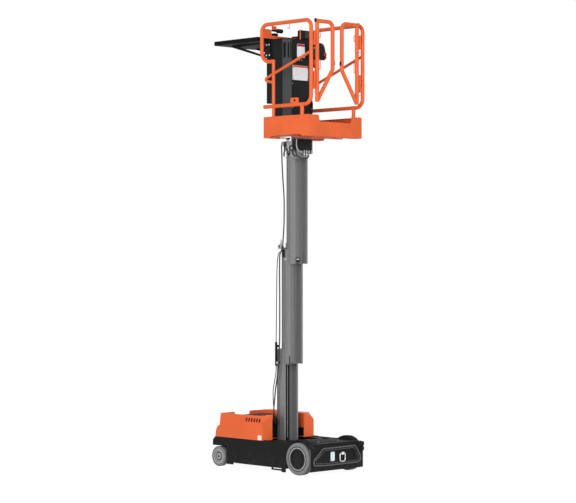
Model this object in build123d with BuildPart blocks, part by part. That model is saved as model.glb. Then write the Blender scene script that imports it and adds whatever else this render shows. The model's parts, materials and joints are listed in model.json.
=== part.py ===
"""Vertical mast lift: a self-propelled base, three nested mast sections, a carriage and a caged platform.

Millimetres. X points forward, from the entry gates to the hood, Y to the left and Z up from the floor.
Lengths named *_x are measured forward from the rear axle, and the whole part is then centred on its box.
"""

import os

from build123d import *

os.makedirs("parts", exist_ok=True)

# Base
wheelbase = 1150.0
chassis_w = 720.0
half_w = chassis_w / 2
chassis_z = 50.0
deck_z = 300.0
rear_x = -167.0
panel_t = 3.5
panel_press = 5.0
panel_w = chassis_w + 24
floor_t = 8.0
wall_t = 6.0
arch_r = 172.0
hump_r = 185.0
front_arch_x = wheelbase - 110
nose_x = wheelbase + 150
nose_z = 210.0
well_wall_y = half_w - 69  # outer face of the wall between a rear wheel and the tub

# Running gear
rear_tyre_r = 158.5
rear_rim_r = 92.0
rear_wheel_w = 78.0
rear_face_y = half_w + 16
front_tyre_r = 101.5
front_rim_r = 62.0
front_wheel_w = 50.0
front_face_y = half_w + 4
axle_r = 20.0
stub_r = 12.0
kingpin_r = 12.0
kingpin_y = half_w - 77
steer_gap = 6.0
run_fit = 0.05  # radial play of a pin or shaft that turns
clear = 6.0  # least gap round a piece that moves

# Hood
hood_rear_x = 510.0
hood_front_x = wheelbase + 53
hood_step_x = wheelbase - 2
hood_top_x = wheelbase - 17
hood_top_z = 541.0
hood_tray_z = 505.0
hood_front_shoulder_z = 420.0
hood_rear_shoulder_z = 478.0
hood_w = chassis_w
hood_upper_w = hood_w - 20
hood_bay_w = 444.0
hood_rim_w = 15.0
hood_t = 4.0
hood_bevel = (65.0, 135.0, 63.0)  # what the rear corners' bevel takes along x, y and z

# Mast: all sections share one profile, and each next one sits further to the rear
mast_front_x = 590.0
mast_pitch = 68.0
mast_len = 1150.0
mast_rise = 1000.0  # from one raised section to the next
mast_low_z = 1050.0  # foot of the second section, raised
mast_body_w = 162.0
mast_body_d = 63.0
mast_wall = 6.0
groove_d = 10.0
groove_w = 20.0
groove_back = 5.0  # flange behind the groove
arm_t = 11.0
arm_gap = 5.0
arm_out_w = mast_body_w + 2 * (arm_t + arm_gap)
arm_d = 58.0
lip_t = 10.0
lip_in_w = mast_body_w - groove_d
web_slot_w = 70.0
pad_fit = 0.3
pad_h = 60.0
foot_pad_h = 32.0
stage_travel = 970.0
foot_t = 12.0

# Lift cylinder in the first section
barrel_r = 23.0
bore_r = 19.0
rod_r = 14.0
gland_h = 25.0
piston_h = 24.0
slide_fit = 0.3

# Heights over the platform floor
floor_rise = 266.0  # the floor itself, over the foot of the third section
kick_low_h = 24.0  # how far the kick plates hang below the floor
kick_top_h = 183.5
rail_low_h = 284.0
gate_low_h = 306.0
tray_rail_low_h = 334.0
hinge_low_seat_h = 428.0
brace_front_h = 542.0
loop_low_h = 727.0
brace_rear_h = 789.0
hinge_high_seat_h = 854.0
carriage_h = 884.0
tray_over_h = 952.0
guard_h = 969.0
tray_rail_top_h = 1029.0
gate_top_h = 1089.0
rail_top_h = 1096.0

# Platform
floor_z = mast_low_z + 2 * mast_rise + floor_rise
floor_plate_t = 4.0
platform_rear_x = -149.0
platform_front_x = 479.0
platform_w = 746.0
kick_low_z = floor_z - kick_low_h
kick_top_z = floor_z + kick_top_h
kick_t = 3.0
notch_x = 304.0
notch_w = 300.0
entry_w = 470.0
entry_drop = 64.0
entry_slope = 21.0
rim_w = 32.0
tread_gap = 14.0
tread_w = platform_w - 106
tread_t = 2.0

# Guard rails and gates
rail_d = 38.0
post_d = 32.0
brace_d = 28.0
gate_d = 39.0
rail_y = platform_w / 2 - 13
rail_rear_x = -173.0
rail_front_x = 515.0
rail_top_z = floor_z + rail_top_h
rail_low_z = floor_z + rail_low_h
loop_low_z = floor_z + loop_low_h  # where the loop turns back under the window
brace_rear_z = floor_z + brace_rear_h
brace_front_z = floor_z + brace_front_h
short_post_x = -49.0
near_post_x = 350.0
far_post_x = 463.0
hinge_y = rail_y - 43.5
hinge_r = 13.0
hinge_pin_r = 8.0
hinge_low_h = 60.0
hinge_up_h = 40.0
hinge_zs = (floor_z + hinge_low_seat_h, floor_z + hinge_high_seat_h)
gate_tube_y = hinge_y - 38
gate_inner_y = 64.5
gate_top_z = floor_z + gate_top_h
gate_low_z = floor_z + gate_low_h
anchor_x = 54.5
anchor_w = 111.0
anchor_bore_r = 14.0
anchor_rise = 43.0
anchor_top = 26.0
anchor_t = 8.0
front_bar_h = 31.0
front_bar_t = 12.0
gusset_w = 110.0
gusset_h = 92.0
gusset_r = 22.0

# Console guard, controls and tray
guard_rear_x = 315.0
guard_front_x = 505.0
guard_rear_w = 288.0
guard_w = 420.0
guard_t = 4.0
guard_top_z = floor_z + guard_h
guard_lip_w = 58.0
tray_rear_x = 619.0
tray_front_x = 1263.0
tray_w = 640.0
tray_z = floor_z + tray_over_h
tray_h = 42.0
tray_t = 3.0
tray_rail_y = 175.0
tray_rail_w = 50.0
tray_rail_low_z = floor_z + tray_rail_low_h
tray_rail_top_z = floor_z + tray_rail_top_h
tray_arm_h = 168.0

# The widest reach behind and in front sets where the box is centred
reach_rear_x = rail_rear_x - gate_d / 2
axle_x = -(reach_rear_x + nose_x) / 2
mast_foot_z = chassis_z + floor_t
stage_low = [mast_foot_z + foot_t, mast_low_z, mast_low_z + mast_rise]
stage_top = [mast_low_z + 150, stage_low[1] + mast_len, stage_low[2] + mast_len]
carriage_low_z = mast_low_z + 2 * mast_rise + 40
carriage_top_z = floor_z + carriage_h


def side(y):
    """Upright plane along the machine at y: across it x is forward from the rear axle, up is height."""
    return Plane(origin=(axle_x, y, 0), x_dir=(1, 0, 0), z_dir=(0, -1, 0))


def level(z):
    """Flat plane at height z: x is forward from the rear axle, y is to the left."""
    return Plane(origin=(axle_x, 0, z), x_dir=(1, 0, 0), z_dir=(0, 0, 1))


def across(x):
    """Upright plane across the machine, x forward from the rear axle: left and height."""
    return Plane(origin=(axle_x + x, 0, 0), x_dir=(0, 1, 0), z_dir=(1, 0, 0))


def block(x0, x1, y0, y1, z0, z1, mode=Mode.ADD):
    """A plain block between two corners."""
    with BuildSketch(level(z0)) as base:
        with Locations(((x0 + x1) / 2, (y0 + y1) / 2)):
            Rectangle(x1 - x0, y1 - y0)
    extrude(base.sketch, amount=z1 - z0, mode=mode)


def outline(plane, points, amount, both=False, mode=Mode.ADD):
    """A polygon on a plane, carried straight out."""
    with BuildSketch(plane) as face:
        with BuildLine():
            Polyline(*points, close=True)
        make_face()
    extrude(face.sketch, amount=amount, both=both, mode=mode)


def bar(plane, points, radii, d):
    """A round tube bent along a path of straight runs and arcs."""
    with BuildLine(plane) as path:
        if radii:
            FilletPolyline(*points, radius=radii)
        else:
            Line(*points)
    route = path.wire()
    with BuildSketch(Plane(origin=route @ 0, z_dir=route % 0)) as ring:
        Circle(d / 2)
    sweep(ring.sketch, path=route)


def disc(x, z, y0, y1, r, mode=Mode.ADD):
    """A round block whose axis lies across the machine, from y0 to y1."""
    with BuildSketch(side(y0)) as base:
        with Locations((x, z)):
            Circle(r)
    extrude(base.sketch, amount=y0 - y1, mode=mode)


def post(x, y, z0, z1, r, mode=Mode.ADD):
    """An upright round bar."""
    with BuildSketch(level(z0)) as base:
        with Locations((x, y)):
            Circle(r)
    extrude(base.sketch, amount=z1 - z0, mode=mode)


def save(part, name):
    """Labels a finished piece and writes it."""
    part.label = name
    export_step(part, f"parts/{name}.step")


steer_sweep_r = (front_tyre_r**2 + (front_face_y - kingpin_y) ** 2) ** 0.5 + steer_gap

# Chassis tub: a folded trough with wheel wells, closed by the deck and the hood
with BuildPart() as chassis_tub:
    outline(
        side(0),
        [
            (rear_x + panel_t, chassis_z),
            (front_arch_x, chassis_z),
            (front_arch_x, nose_z),
            (nose_x - 35, nose_z),
            (nose_x - 8, nose_z + 6),
            (nose_x, nose_z + 18),
            (nose_x - 10, nose_z + 32),
            (nose_x - 50, nose_z + 48),
            (hood_front_x + 2, deck_z),
            (rear_x + panel_t, deck_z),
        ],
        half_w,
        both=True,
    )
    # The nose narrows in plan
    for s in (1, -1):
        outline(
            level(chassis_z),
            [
                (nose_x - 60, s * (half_w + 1)),
                (nose_x + 1, s * (half_w + 1)),
                (nose_x + 1, s * (half_w - 95)),
            ],
            deck_z,
            mode=Mode.SUBTRACT,
        )
    inner_y = well_wall_y - wall_t
    block(rear_x + panel_t + wall_t, front_arch_x - wall_t, -inner_y, inner_y,
          chassis_z + floor_t, deck_z, mode=Mode.SUBTRACT)
    block(arch_r + 34, front_arch_x - wall_t, -half_w + wall_t, half_w - wall_t,
          chassis_z + floor_t, deck_z, mode=Mode.SUBTRACT)
    block(front_arch_x - wall_t, nose_x - 110, -half_w + 100, half_w - 100,
          nose_z + wall_t, deck_z, mode=Mode.SUBTRACT)
    for s in (1, -1):
        disc(0, rear_tyre_r, s * well_wall_y, s * (half_w + 1), arch_r, mode=Mode.SUBTRACT)
        block(-arch_r, arch_r, min(s * well_wall_y, s * (half_w + 1)), max(s * well_wall_y, s * (half_w + 1)),
              chassis_z - 1, rear_tyre_r, mode=Mode.SUBTRACT)
        disc(0, rear_tyre_r, s * (inner_y - 1), s * (half_w + 1), axle_r + 12, mode=Mode.SUBTRACT)
    # Round wells that the steered wheels sweep
    for s in (1, -1):
        with BuildSketch(level(chassis_z)) as well:
            with Locations((wheelbase, s * kingpin_y)):
                Circle(steer_sweep_r + wall_t)
            with Locations((front_arch_x - steer_sweep_r, s * half_w / 2)):
                Rectangle(2 * steer_sweep_r, half_w, mode=Mode.INTERSECT)
        extrude(well.sketch, amount=nose_z - chassis_z + wall_t)
        post(wheelbase, s * kingpin_y, chassis_z - 1, nose_z, steer_sweep_r, mode=Mode.SUBTRACT)
save(chassis_tub.part, "chassis_tub")

# Deck over the rear of the tub, open round the mast, with a hump over each wheel
deck_t = 5.0
mast_bay_x = mast_front_x - 3 * mast_pitch - mast_body_d - 62
with BuildPart() as rear_deck:
    block(rear_x + panel_t, mast_bay_x, -half_w, half_w, deck_z, deck_z + deck_t)
    for s in (1, -1):
        y0, y1 = sorted((s * 190, s * half_w))
        block(mast_bay_x, mast_bay_x + 160, y0, y1, deck_z, deck_z + deck_t)
        y0, y1 = sorted((s * (well_wall_y - 6), s * half_w))
        block(-arch_r, arch_r, y0, y1, deck_z - 1, deck_z + deck_t + 1, mode=Mode.SUBTRACT)
        with BuildSketch(side(y1)):
            with Locations((0, rear_tyre_r)):
                Circle(hump_r)
                Circle(arch_r + 1, mode=Mode.SUBTRACT)
            with Locations((0, deck_z - hump_r)):
                Rectangle(3 * hump_r, 2 * hump_r, mode=Mode.SUBTRACT)
        extrude(amount=y1 - y0)
        inner = s * (well_wall_y - wall_t)
        with BuildSketch(side(max(inner, inner + s * wall_t))) as hump_wall:
            with Locations((0, rear_tyre_r)):
                Circle(hump_r)
            with Locations((0, deck_z - hump_r)):
                Rectangle(3 * hump_r, 2 * hump_r, mode=Mode.SUBTRACT)
        extrude(hump_wall.sketch, amount=wall_t)
save(rear_deck.part, "rear_deck")

# Rear panel: a pressed plate with a raised frame
with BuildPart() as rear_panel:
    block(rear_x, rear_x + panel_t, -panel_w / 2, panel_w / 2, chassis_z - 9, deck_z - 8)
    outline(
        across(rear_x),
        [
            (60 - half_w, deck_z - 78),
            (half_w - 60, deck_z - 78),
            (half_w - 15, chassis_z + 70),
            (half_w - 15, chassis_z + 46),
            (60 - half_w, chassis_z + 46),
        ],
        -panel_press,
    )
save(rear_panel.part, "rear_panel")

# Battery and pump block under the hood
with BuildPart() as battery_block:
    block(hood_rear_x + 130, wheelbase - 150, 60 - half_w, half_w - 60, chassis_z + floor_t, deck_z + 120)
save(battery_block.part, "battery_block")

# Rear axle stubs that carry the drive wheels
with BuildPart() as drive_axles:
    for s in (1, -1):
        disc(0, rear_tyre_r, s * (well_wall_y - 171), s * (well_wall_y - wall_t), 60)
        disc(0, rear_tyre_r, s * (well_wall_y - 171), s * (rear_face_y - 26), axle_r)
save(drive_axles.part, "drive_axles")

# Front axle beam under the nose, with the kingpin bores
beam_low_z = 158.0
beam_w = 48.0
with BuildPart() as front_axle_beam:
    block(wheelbase - beam_w / 2, wheelbase + beam_w / 2, -kingpin_y, kingpin_y, beam_low_z, nose_z)
    for s in (1, -1):
        post(wheelbase, s * kingpin_y, beam_low_z, nose_z, beam_w / 2)
        post(wheelbase, s * kingpin_y, beam_low_z, nose_z - 6, kingpin_r + run_fit, mode=Mode.SUBTRACT)
save(front_axle_beam.part, "front_axle_beam")

# Skid bars and feet that guard the sides over holes in the floor
with BuildPart() as pothole_guards:
    for s in (1, -1):
        y0, y1 = sorted((s * (half_w - 14), s * half_w))
        block(190, 240, y0, y1, 14, chassis_z)
        block(240, 380, y0, y1, 26, 40)
        block(366, 380, y0, y1, 40, chassis_z)
        block(front_arch_x - 95, front_arch_x - 6, y0, y1, 32, chassis_z)
save(pothole_guards.part, "pothole_guards")

# Tow ring, held by a clip on the rear panel
ring_y = -69.0
ring_z = 196.0
ring_w = 72.0
ring_h = 76.0
ring_r = 4.5
with BuildPart() as tow_ring:
    block(rear_x - panel_press - 14, rear_x - panel_press, ring_y - 16, ring_y + 16, ring_z - 10, ring_z + 16)
    bar(
        across(rear_x - panel_press - 7),
        [
            (ring_y, ring_z),
            (ring_y - ring_w / 2, ring_z),
            (ring_y - ring_w / 2, ring_z - ring_h),
            (ring_y + ring_w / 2, ring_z - ring_h),
            (ring_y + ring_w / 2, ring_z),
            (ring_y + 2, ring_z),
        ],
        [12, 24, 24, 12],
        2 * ring_r,
    )
save(tow_ring.part, "tow_ring")

# Hood: a moulded cover with a soft shoulder and a shallow tray on top, forked round the mast


def hood_form(inset, mode):
    """The cover's outer form, or the same form drawn in by a wall, under the tray."""
    low = deck_z if inset == 0 else deck_z - 1
    top = hood_top_z if inset == 0 else hood_tray_z - inset
    front = hood_front_x - inset
    step = hood_step_x - inset
    turn_z = hood_front_shoulder_z - inset
    outline(
        side(0),
        [
            (hood_rear_x + inset, low),
            (front, low),
            (front - 9, turn_z - 62),
            (front - 18, turn_z - 36),
            (front - 34, turn_z - 14),
            (step - 4, turn_z),
            (hood_rear_x + inset, hood_rear_shoulder_z - inset),
        ],
        hood_w / 2 - inset,
        both=True,
        mode=mode,
    )
    outline(
        side(0),
        [
            (hood_rear_x + inset, low),
            (step, low),
            (step, turn_z),
            (hood_top_x - inset, top),
            (hood_rear_x + inset, top),
        ],
        hood_upper_w / 2 - inset,
        both=True,
        mode=mode,
    )


bay_x = mast_front_x + 14
bay_y = hood_bay_w / 2
bevel_x, bevel_y, bevel_z = hood_bevel
with BuildPart() as hood:
    hood_form(0, Mode.ADD)
    hood_form(hood_t, Mode.SUBTRACT)
    # Tray, with a rim round it that dips at the front
    block(hood_rear_x + 50, hood_top_x - hood_rim_w, 115 - half_w, hood_upper_w / 2 - hood_rim_w,
          hood_tray_z, hood_top_z + 1, mode=Mode.SUBTRACT)
    block(hood_top_x - 2 * hood_rim_w, hood_step_x + 1, -50, 168, hood_tray_z, hood_top_z + 1,
          mode=Mode.SUBTRACT)
    for s in (1, -1):
        y0, y1 = sorted((s * (half_w - bevel_y / 2), s * (hood_upper_w / 2)))
        block(hood_rear_x, hood_rear_x + bevel_x, y0, y1, hood_rear_shoulder_z - bevel_z, hood_top_z)
    # Bay round the mast
    block(hood_rear_x, bay_x + hood_t, -bay_y - hood_t, bay_y + hood_t, deck_z, hood_top_z - 1)
    block(hood_rear_x - 1, bay_x, -bay_y, bay_y, deck_z - 1, hood_top_z + 50, mode=Mode.SUBTRACT)
    # Bevelled rear corners
    for s in (1, -1):
        corner = (axle_x + hood_rear_x, s * (half_w - bevel_y), hood_top_z)
        with BuildSketch(Plane(origin=corner, z_dir=(-1 / bevel_x, s / bevel_y, 1 / bevel_z))) as bevel:
            Rectangle(600, 600)
        extrude(bevel.sketch, amount=150, mode=Mode.SUBTRACT)
save(hood.part, "hood")

# Stop box on the hood beside the mast
with BuildPart() as ground_control:
    block(518, 570, bay_y - 55, bay_y, 468, 506)
save(ground_control.part, "ground_control")

# Mast sections


def section_front(n):
    """Front face of mast section n, where 3 is the platform carriage."""
    return mast_front_x - n * mast_pitch


def section_body(n):
    """Hollow box with a groove down each side, in plan."""
    x1 = section_front(n)
    x0 = x1 - mast_body_d
    y = mast_body_w / 2
    g0 = x0 + groove_back
    g1 = g0 + groove_w
    with Locations(((x0 + x1) / 2, 0)):
        Rectangle(mast_body_d, mast_body_w)
    for s in (1, -1):
        with Locations(((g0 + g1) / 2, s * (y - groove_d / 2))):
            Rectangle(groove_w, groove_d, mode=Mode.SUBTRACT)
    with Locations(((x0 + x1) / 2, 0)):
        Rectangle(mast_body_d - 2 * mast_wall, mast_body_w - 2 * (groove_d + mast_wall), mode=Mode.SUBTRACT)


def section_arms(n):
    """Rear flange and the two lipped arms that hold the next section, in plan."""
    x0 = section_front(n) - mast_body_d
    with Locations((x0 + groove_back / 2, 0)):
        Rectangle(groove_back, arm_out_w)
    for s in (1, -1):
        with Locations((x0 + groove_back / 2 - arm_d / 2, s * (arm_out_w - arm_t) / 2)):
            Rectangle(arm_d + groove_back, arm_t)
        lip_w = (arm_out_w - lip_in_w) / 2
        with Locations((x0 - arm_d + lip_t / 2, s * (arm_out_w - lip_w) / 2)):
            Rectangle(lip_t, lip_w)
    with Locations((x0 + mast_wall / 2, 0)):
        Rectangle(mast_wall + 2, web_slot_w, mode=Mode.SUBTRACT)


def pad_ring(n, s):
    """A pad on the arm's lip of section n, in the groove of section n + 1, in plan."""
    g0 = section_front(n + 1) - mast_body_d + groove_back
    y_in = mast_body_w / 2 - groove_d + pad_fit
    y_out = arm_out_w / 2 - arm_t
    with Locations((g0 + groove_w / 2, s * (y_in + y_out) / 2)):
        Rectangle(groove_w - 2 * pad_fit, y_out - y_in)
    lip_x = section_front(n) - mast_body_d - arm_d + lip_t / 2
    with Locations((lip_x, s * (lip_in_w / 2 + 20))):
        Rectangle(lip_t, 40, mode=Mode.SUBTRACT)


def foot_pad(n, s):
    """A pad lining the groove of section n, round the lip of section n - 1, in plan."""
    g0 = section_front(n) - mast_body_d + groove_back
    y_in = mast_body_w / 2 - groove_d
    y_out = mast_body_w / 2
    with Locations((g0 + groove_w / 2, s * (y_in + y_out) / 2)):
        Rectangle(groove_w, y_out - y_in)
    lip_x = section_front(n - 1) - mast_body_d - arm_d + lip_t / 2
    with Locations((lip_x, s * (lip_in_w / 2 - pad_fit + 20))):
        Rectangle(lip_t + 2 * pad_fit, 40, mode=Mode.SUBTRACT)


for n in range(3):
    with BuildPart() as mast_section:
        with BuildSketch(level(stage_low[n])):
            section_body(n)
            section_arms(n)
        extrude(amount=stage_top[n] - stage_low[n])
    save(mast_section.part, f"mast_section_{n}")

with BuildPart() as carriage:
    with BuildSketch(level(carriage_low_z)):
        section_body(3)
    extrude(amount=carriage_top_z - carriage_low_z)
    rear = section_front(3) - mast_body_d
    block(rear - 45, rear, 1 - arm_out_w / 2, arm_out_w / 2 - 1, kick_low_z - 106, floor_z - floor_plate_t)
save(carriage.part, "carriage")

lows = stage_low + [carriage_low_z]
for n in range(4):
    with BuildPart() as pads:
        if n < 3:
            with BuildSketch(level(stage_top[n] - pad_h - 10)):
                for s in (1, -1):
                    pad_ring(n, s)
            extrude(amount=pad_h)
        if n > 0:
            with BuildSketch(level(lows[n] + 3)):
                for s in (1, -1):
                    foot_pad(n, s)
            extrude(amount=foot_pad_h)
    save(pads.part, f"slide_pads_{n}")

# Foot plate that bolts the mast to the tub floor
with BuildPart() as mast_foot:
    block(section_front(0) - mast_body_d - arm_d - 69, section_front(0) + 8, -arm_out_w / 2 - 33, arm_out_w / 2 + 33,
          mast_foot_z, mast_foot_z + foot_t)
save(mast_foot.part, "mast_foot")

# Lift cylinder: a barrel on the foot plate, inside the first section, and its rod
cylinder_x = mast_front_x - mast_body_d / 2
barrel_low_z = mast_foot_z + foot_t
barrel_top_z = stage_top[0] - 75
barrel_bore_z = barrel_low_z + 15
piston_low_z = barrel_bore_z + stage_travel + 16
with BuildPart() as lift_barrel:
    post(cylinder_x, 0, barrel_low_z, barrel_top_z, barrel_r)
    post(cylinder_x, 0, barrel_bore_z, barrel_top_z - gland_h, bore_r, mode=Mode.SUBTRACT)
    post(cylinder_x, 0, barrel_top_z - gland_h - 1, barrel_top_z, rod_r + slide_fit, mode=Mode.SUBTRACT)
save(lift_barrel.part, "lift_barrel")

head_t = 12.0
with BuildPart() as lift_rod:
    post(cylinder_x, 0, piston_low_z, piston_low_z + piston_h, bore_r - slide_fit)
    post(cylinder_x, 0, piston_low_z, stage_top[1] + head_t, rod_r)
save(lift_rod.part, "lift_rod")

# Places of the cable and of its guides: two X, then two heights
guide_y = arm_out_w / 2 + clear
cable_y = guide_y + 15
cable_r = 6.0
guide_0 = (530.0, 574.0, 1020.0, 1270.0)
guide_1 = (497.0, 522.0, 2160.0, 2290.0)

# Head of the second section: plate that the rod lifts, with the chain sheave
with BuildPart() as head_1:
    block(section_front(1) - mast_body_d, cylinder_x + 26, -72, 72, stage_top[1], stage_top[1] + head_t)
    post(cylinder_x, 0, stage_top[1] - 1, stage_top[1] + head_t + 1, rod_r, mode=Mode.SUBTRACT)
    block(section_front(1) - 32, section_front(1) + 4, -12, 12, stage_top[1] - 1, stage_top[1] + head_t + 1,
          mode=Mode.SUBTRACT)
    block(guide_1[0], guide_1[1], 70, guide_y, stage_top[1], stage_top[1] + head_t)
    for s in (1, -1):
        y0, y1 = sorted((s * 14, s * 22))
        block(section_front(1) - 34, section_front(1) + 8, y0, y1, stage_top[1], stage_top[1] + 62)
    disc(section_front(1) - 13, stage_top[1] + 42, -22, 22, 7)
    disc(section_front(1) - 13, stage_top[1] + 42, -10, 10, 25)
save(head_1.part, "head_1")

with BuildPart() as head_2:
    x2 = section_front(2)
    block(x2 - mast_body_d, x2 + 8, -72, 72, stage_top[2], stage_top[2] + head_t)
    for s in (1, -1):
        y0, y1 = sorted((s * 14, s * 22))
        block(x2 - 34, x2 + 8, y0, y1, stage_top[2], stage_top[2] + 62)
        y0, y1 = sorted((s * (arm_out_w / 2), s * (arm_out_w / 2 + 8)))
        block(x2 - mast_body_d - arm_d, x2 + 8, y0, y1, stage_top[2] - 14, stage_top[2] + 70)
        block(x2 - mast_body_d - arm_d, x2 - 60, y0, y1, stage_top[2] - 80, stage_top[2] - 14)
        y0, y1 = sorted((s * 72, s * (arm_out_w / 2 + 8)))
        block(x2 - mast_body_d, x2 + 8, y0, y1, stage_top[2], stage_top[2] + head_t)
    disc(x2 - 13, stage_top[2] + 42, -22, 22, 7)
    disc(x2 - 13, stage_top[2] + 42, -10, 10, 25)
    disc(x2 + 14, stage_top[2] + 42, arm_out_w / 2, arm_out_w / 2 + 34, 8)
    block(x2 - 10, x2 + 22, arm_out_w / 2, arm_out_w / 2 + 8, stage_top[2] + 30, stage_top[2] + 54)
    disc(x2 + 14, stage_top[2] + 42, arm_out_w / 2 + 14, arm_out_w / 2 + 28, 22)
save(head_2.part, "head_2")

# Control cable down the left of the mast, in a guide at the top of each section


def cable_guide(x0, x1, z0, z1):
    """A slim channel bracket beside the mast that the cable passes through."""
    block(x0, x1, guide_y, cable_y + 14, z0, z1)
    post((x0 + x1) / 2, cable_y, z0 - 1, z1 + 1, cable_r + 1, mode=Mode.SUBTRACT)


with BuildPart() as cable_guide_0:
    cable_guide(*guide_0)
    block(guide_0[1] - 20, guide_0[1], mast_body_w / 2, guide_y, guide_0[2] + 20, stage_top[0] - 20)
save(cable_guide_0.part, "cable_guide_0")
with BuildPart() as cable_guide_1:
    cable_guide(*guide_1)
save(cable_guide_1.part, "cable_guide_1")

# Platform pan: floor and folded kick plates, open at the front where the mast passes


def kick_plate_cut(plane, half, amount):
    """Raises the lower edge between the corners of one kick plate."""
    centre = (platform_rear_x + platform_front_x) / 2
    mid = half - 92
    outline(
        plane,
        [
            (centre - mid, kick_low_z - 1),
            (centre + mid, kick_low_z - 1),
            (centre + mid - 24, kick_low_z + 20),
            (centre - mid + 24, kick_low_z + 20),
        ],
        amount,
        both=True,
        mode=Mode.SUBTRACT,
    )


platform_mid_x = (platform_rear_x + platform_front_x) / 2
platform_len = platform_front_x - platform_rear_x
with BuildPart() as platform_pan:
    with BuildSketch(level(kick_low_z)):
        with Locations((platform_mid_x, 0)):
            Rectangle(platform_len, platform_w)
            Rectangle(platform_len - 2 * kick_t, platform_w - 2 * kick_t, mode=Mode.SUBTRACT)
    extrude(amount=kick_top_z - kick_low_z)
    with BuildSketch(level(kick_top_z - kick_t)):
        with Locations((platform_mid_x, 0)):
            Rectangle(platform_len, platform_w)
            Rectangle(platform_len - 2 * rim_w, platform_w - 2 * rim_w, mode=Mode.SUBTRACT)
    extrude(amount=kick_t)
    with BuildSketch(level(floor_z - floor_plate_t)):
        with Locations((platform_mid_x, 0)):
            Rectangle(platform_len, platform_w)
    extrude(amount=floor_plate_t)
    block(notch_x, platform_front_x + 1, -notch_w / 2, notch_w / 2, kick_low_z - 1, kick_top_z + 1,
          mode=Mode.SUBTRACT)
    block(platform_front_x - rim_w, platform_front_x + 1, -guard_w / 2, guard_w / 2, floor_z, kick_top_z + 1,
          mode=Mode.SUBTRACT)
    # Raised tread over the floor where the operator stands
    block(platform_rear_x + rim_w + tread_gap, notch_x - tread_gap, -tread_w / 2, tread_w / 2,
          floor_z - 1, floor_z + tread_t)
    # Low entry between the gates
    outline(
        across(platform_rear_x - 1),
        [
            (entry_slope - entry_w / 2, kick_top_z - entry_drop),
            (entry_w / 2 - entry_slope, kick_top_z - entry_drop),
            (entry_w / 2, kick_top_z + 1),
            (-entry_w / 2, kick_top_z + 1),
        ],
        rim_w + 1,
        mode=Mode.SUBTRACT,
    )
    kick_plate_cut(side(0), platform_len / 2, platform_w)
save(platform_pan.part, "platform_pan")

# Side guard rails: a bent loop a side with its posts and brace, and the gates' hinge seats
# Post, then the loop's low front end, its turn radius and the brace's front corner
rail_sides = (
    (1, near_post_x, rail_front_x - 35, 105, rail_front_x - 13),
    (-1, far_post_x, rail_front_x + 25, 48, far_post_x + 16),
)
with BuildPart() as side_rails:
    for s, loop_post_x, low_front_x, turn_r, brace_x in rail_sides:
        loop = side(s * rail_y)
        bar(
            loop,
            [
                (low_front_x, rail_low_z),
                (rail_rear_x, rail_low_z),
                (rail_rear_x, rail_top_z),
                (rail_front_x, rail_top_z),
                (rail_front_x, loop_low_z),
                (loop_post_x, loop_low_z),
            ],
            [85, 72, 72, turn_r],
            rail_d,
        )
        bar(loop, [(short_post_x, kick_top_z), (short_post_x, rail_low_z)], None, rail_d)
        for z in hinge_zs:
            post(rail_rear_x, s * hinge_y, z, z + hinge_low_h, hinge_r)
            y0, y1 = sorted((s * hinge_y, s * rail_y))
            block(rail_rear_x - 5, rail_rear_x + 5, y0, y1, z, z + hinge_low_h)
            post(rail_rear_x, s * hinge_y, z + hinge_low_h, z + hinge_low_h + hinge_up_h - 4, hinge_pin_r)
    # The left loop stands on a post, the right one ends on its brace
    left = side(rail_y)
    bar(left, [(near_post_x, kick_top_z), (near_post_x, loop_low_z + 9)], None, post_d)
    bar(left, [(rail_rear_x + 4, brace_rear_z), (rail_front_x - 15, brace_front_z + 8),
               (near_post_x, brace_front_z - 23)], [16], brace_d)
    right = side(-rail_y)
    bar(right, [(far_post_x, brace_front_z), (far_post_x, loop_low_z + 9)], None, post_d)
    bar(right, [(rail_rear_x + 4, brace_rear_z), (far_post_x, brace_front_z + 12)], None, brace_d)
    # Anchor for a lanyard, on the left lower rail
    with BuildSketch(side(rail_y + anchor_t / 2)) as anchor:
        with Locations((anchor_x, rail_low_z + (anchor_rise + anchor_top) / 2)):
            RectangleRounded(anchor_w, anchor_rise + anchor_top, 20)
        with Locations((anchor_x, rail_low_z + anchor_rise)):
            Circle(anchor_bore_r, mode=Mode.SUBTRACT)
    extrude(anchor.sketch, amount=anchor_t)
    # Flat bar from rail to rail over the guard, with a gusset at each end
    bar_z = guard_top_z + front_bar_h / 2
    with BuildSketch(across(guard_front_x - front_bar_t)) as front_bar:
        with Locations((0, bar_z)):
            Rectangle(2 * rail_y, front_bar_h)
        with Locations((rail_y - gusset_w / 2, guard_top_z + gusset_h / 2)):
            RectangleRounded(gusset_w, gusset_h, gusset_r)
        with Locations((gusset_w / 2 - rail_y, guard_top_z + gusset_h / 2)):
            RectangleRounded(gusset_w, gusset_h, gusset_r)
    extrude(front_bar.sketch, amount=front_bar_t)
save(side_rails.part, "side_rails")

# Entry gates, mirrored, each on two pins
for name, s in (("gate_left", 1), ("gate_right", -1)):
    with BuildPart() as gate:
        plane = across(rail_rear_x)
        bar(plane, [(s * gate_tube_y, gate_low_z), (s * gate_tube_y, gate_top_z)], None, gate_d)
        bar(
            plane,
            [
                (s * (gate_tube_y + 20), gate_top_z),
                (s * gate_inner_y, gate_top_z),
                (s * gate_inner_y, gate_low_z + 325),
                (s * (gate_tube_y - 6), gate_low_z + 14),
            ],
            [58, 40],
            gate_d,
        )
        for z in hinge_zs:
            z0 = z + hinge_low_h + 0.5
            z1 = z + hinge_low_h + hinge_up_h
            y0, y1 = sorted((s * gate_tube_y, s * hinge_y))
            block(rail_rear_x - 5, rail_rear_x + 5, y0, y1, z0, z1)
            post(rail_rear_x, s * hinge_y, z0, z1, hinge_r)
            post(rail_rear_x, s * hinge_y, z0 - 1, z1 + 1, hinge_pin_r + run_fit, mode=Mode.SUBTRACT)
    save(gate.part, name)

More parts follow.
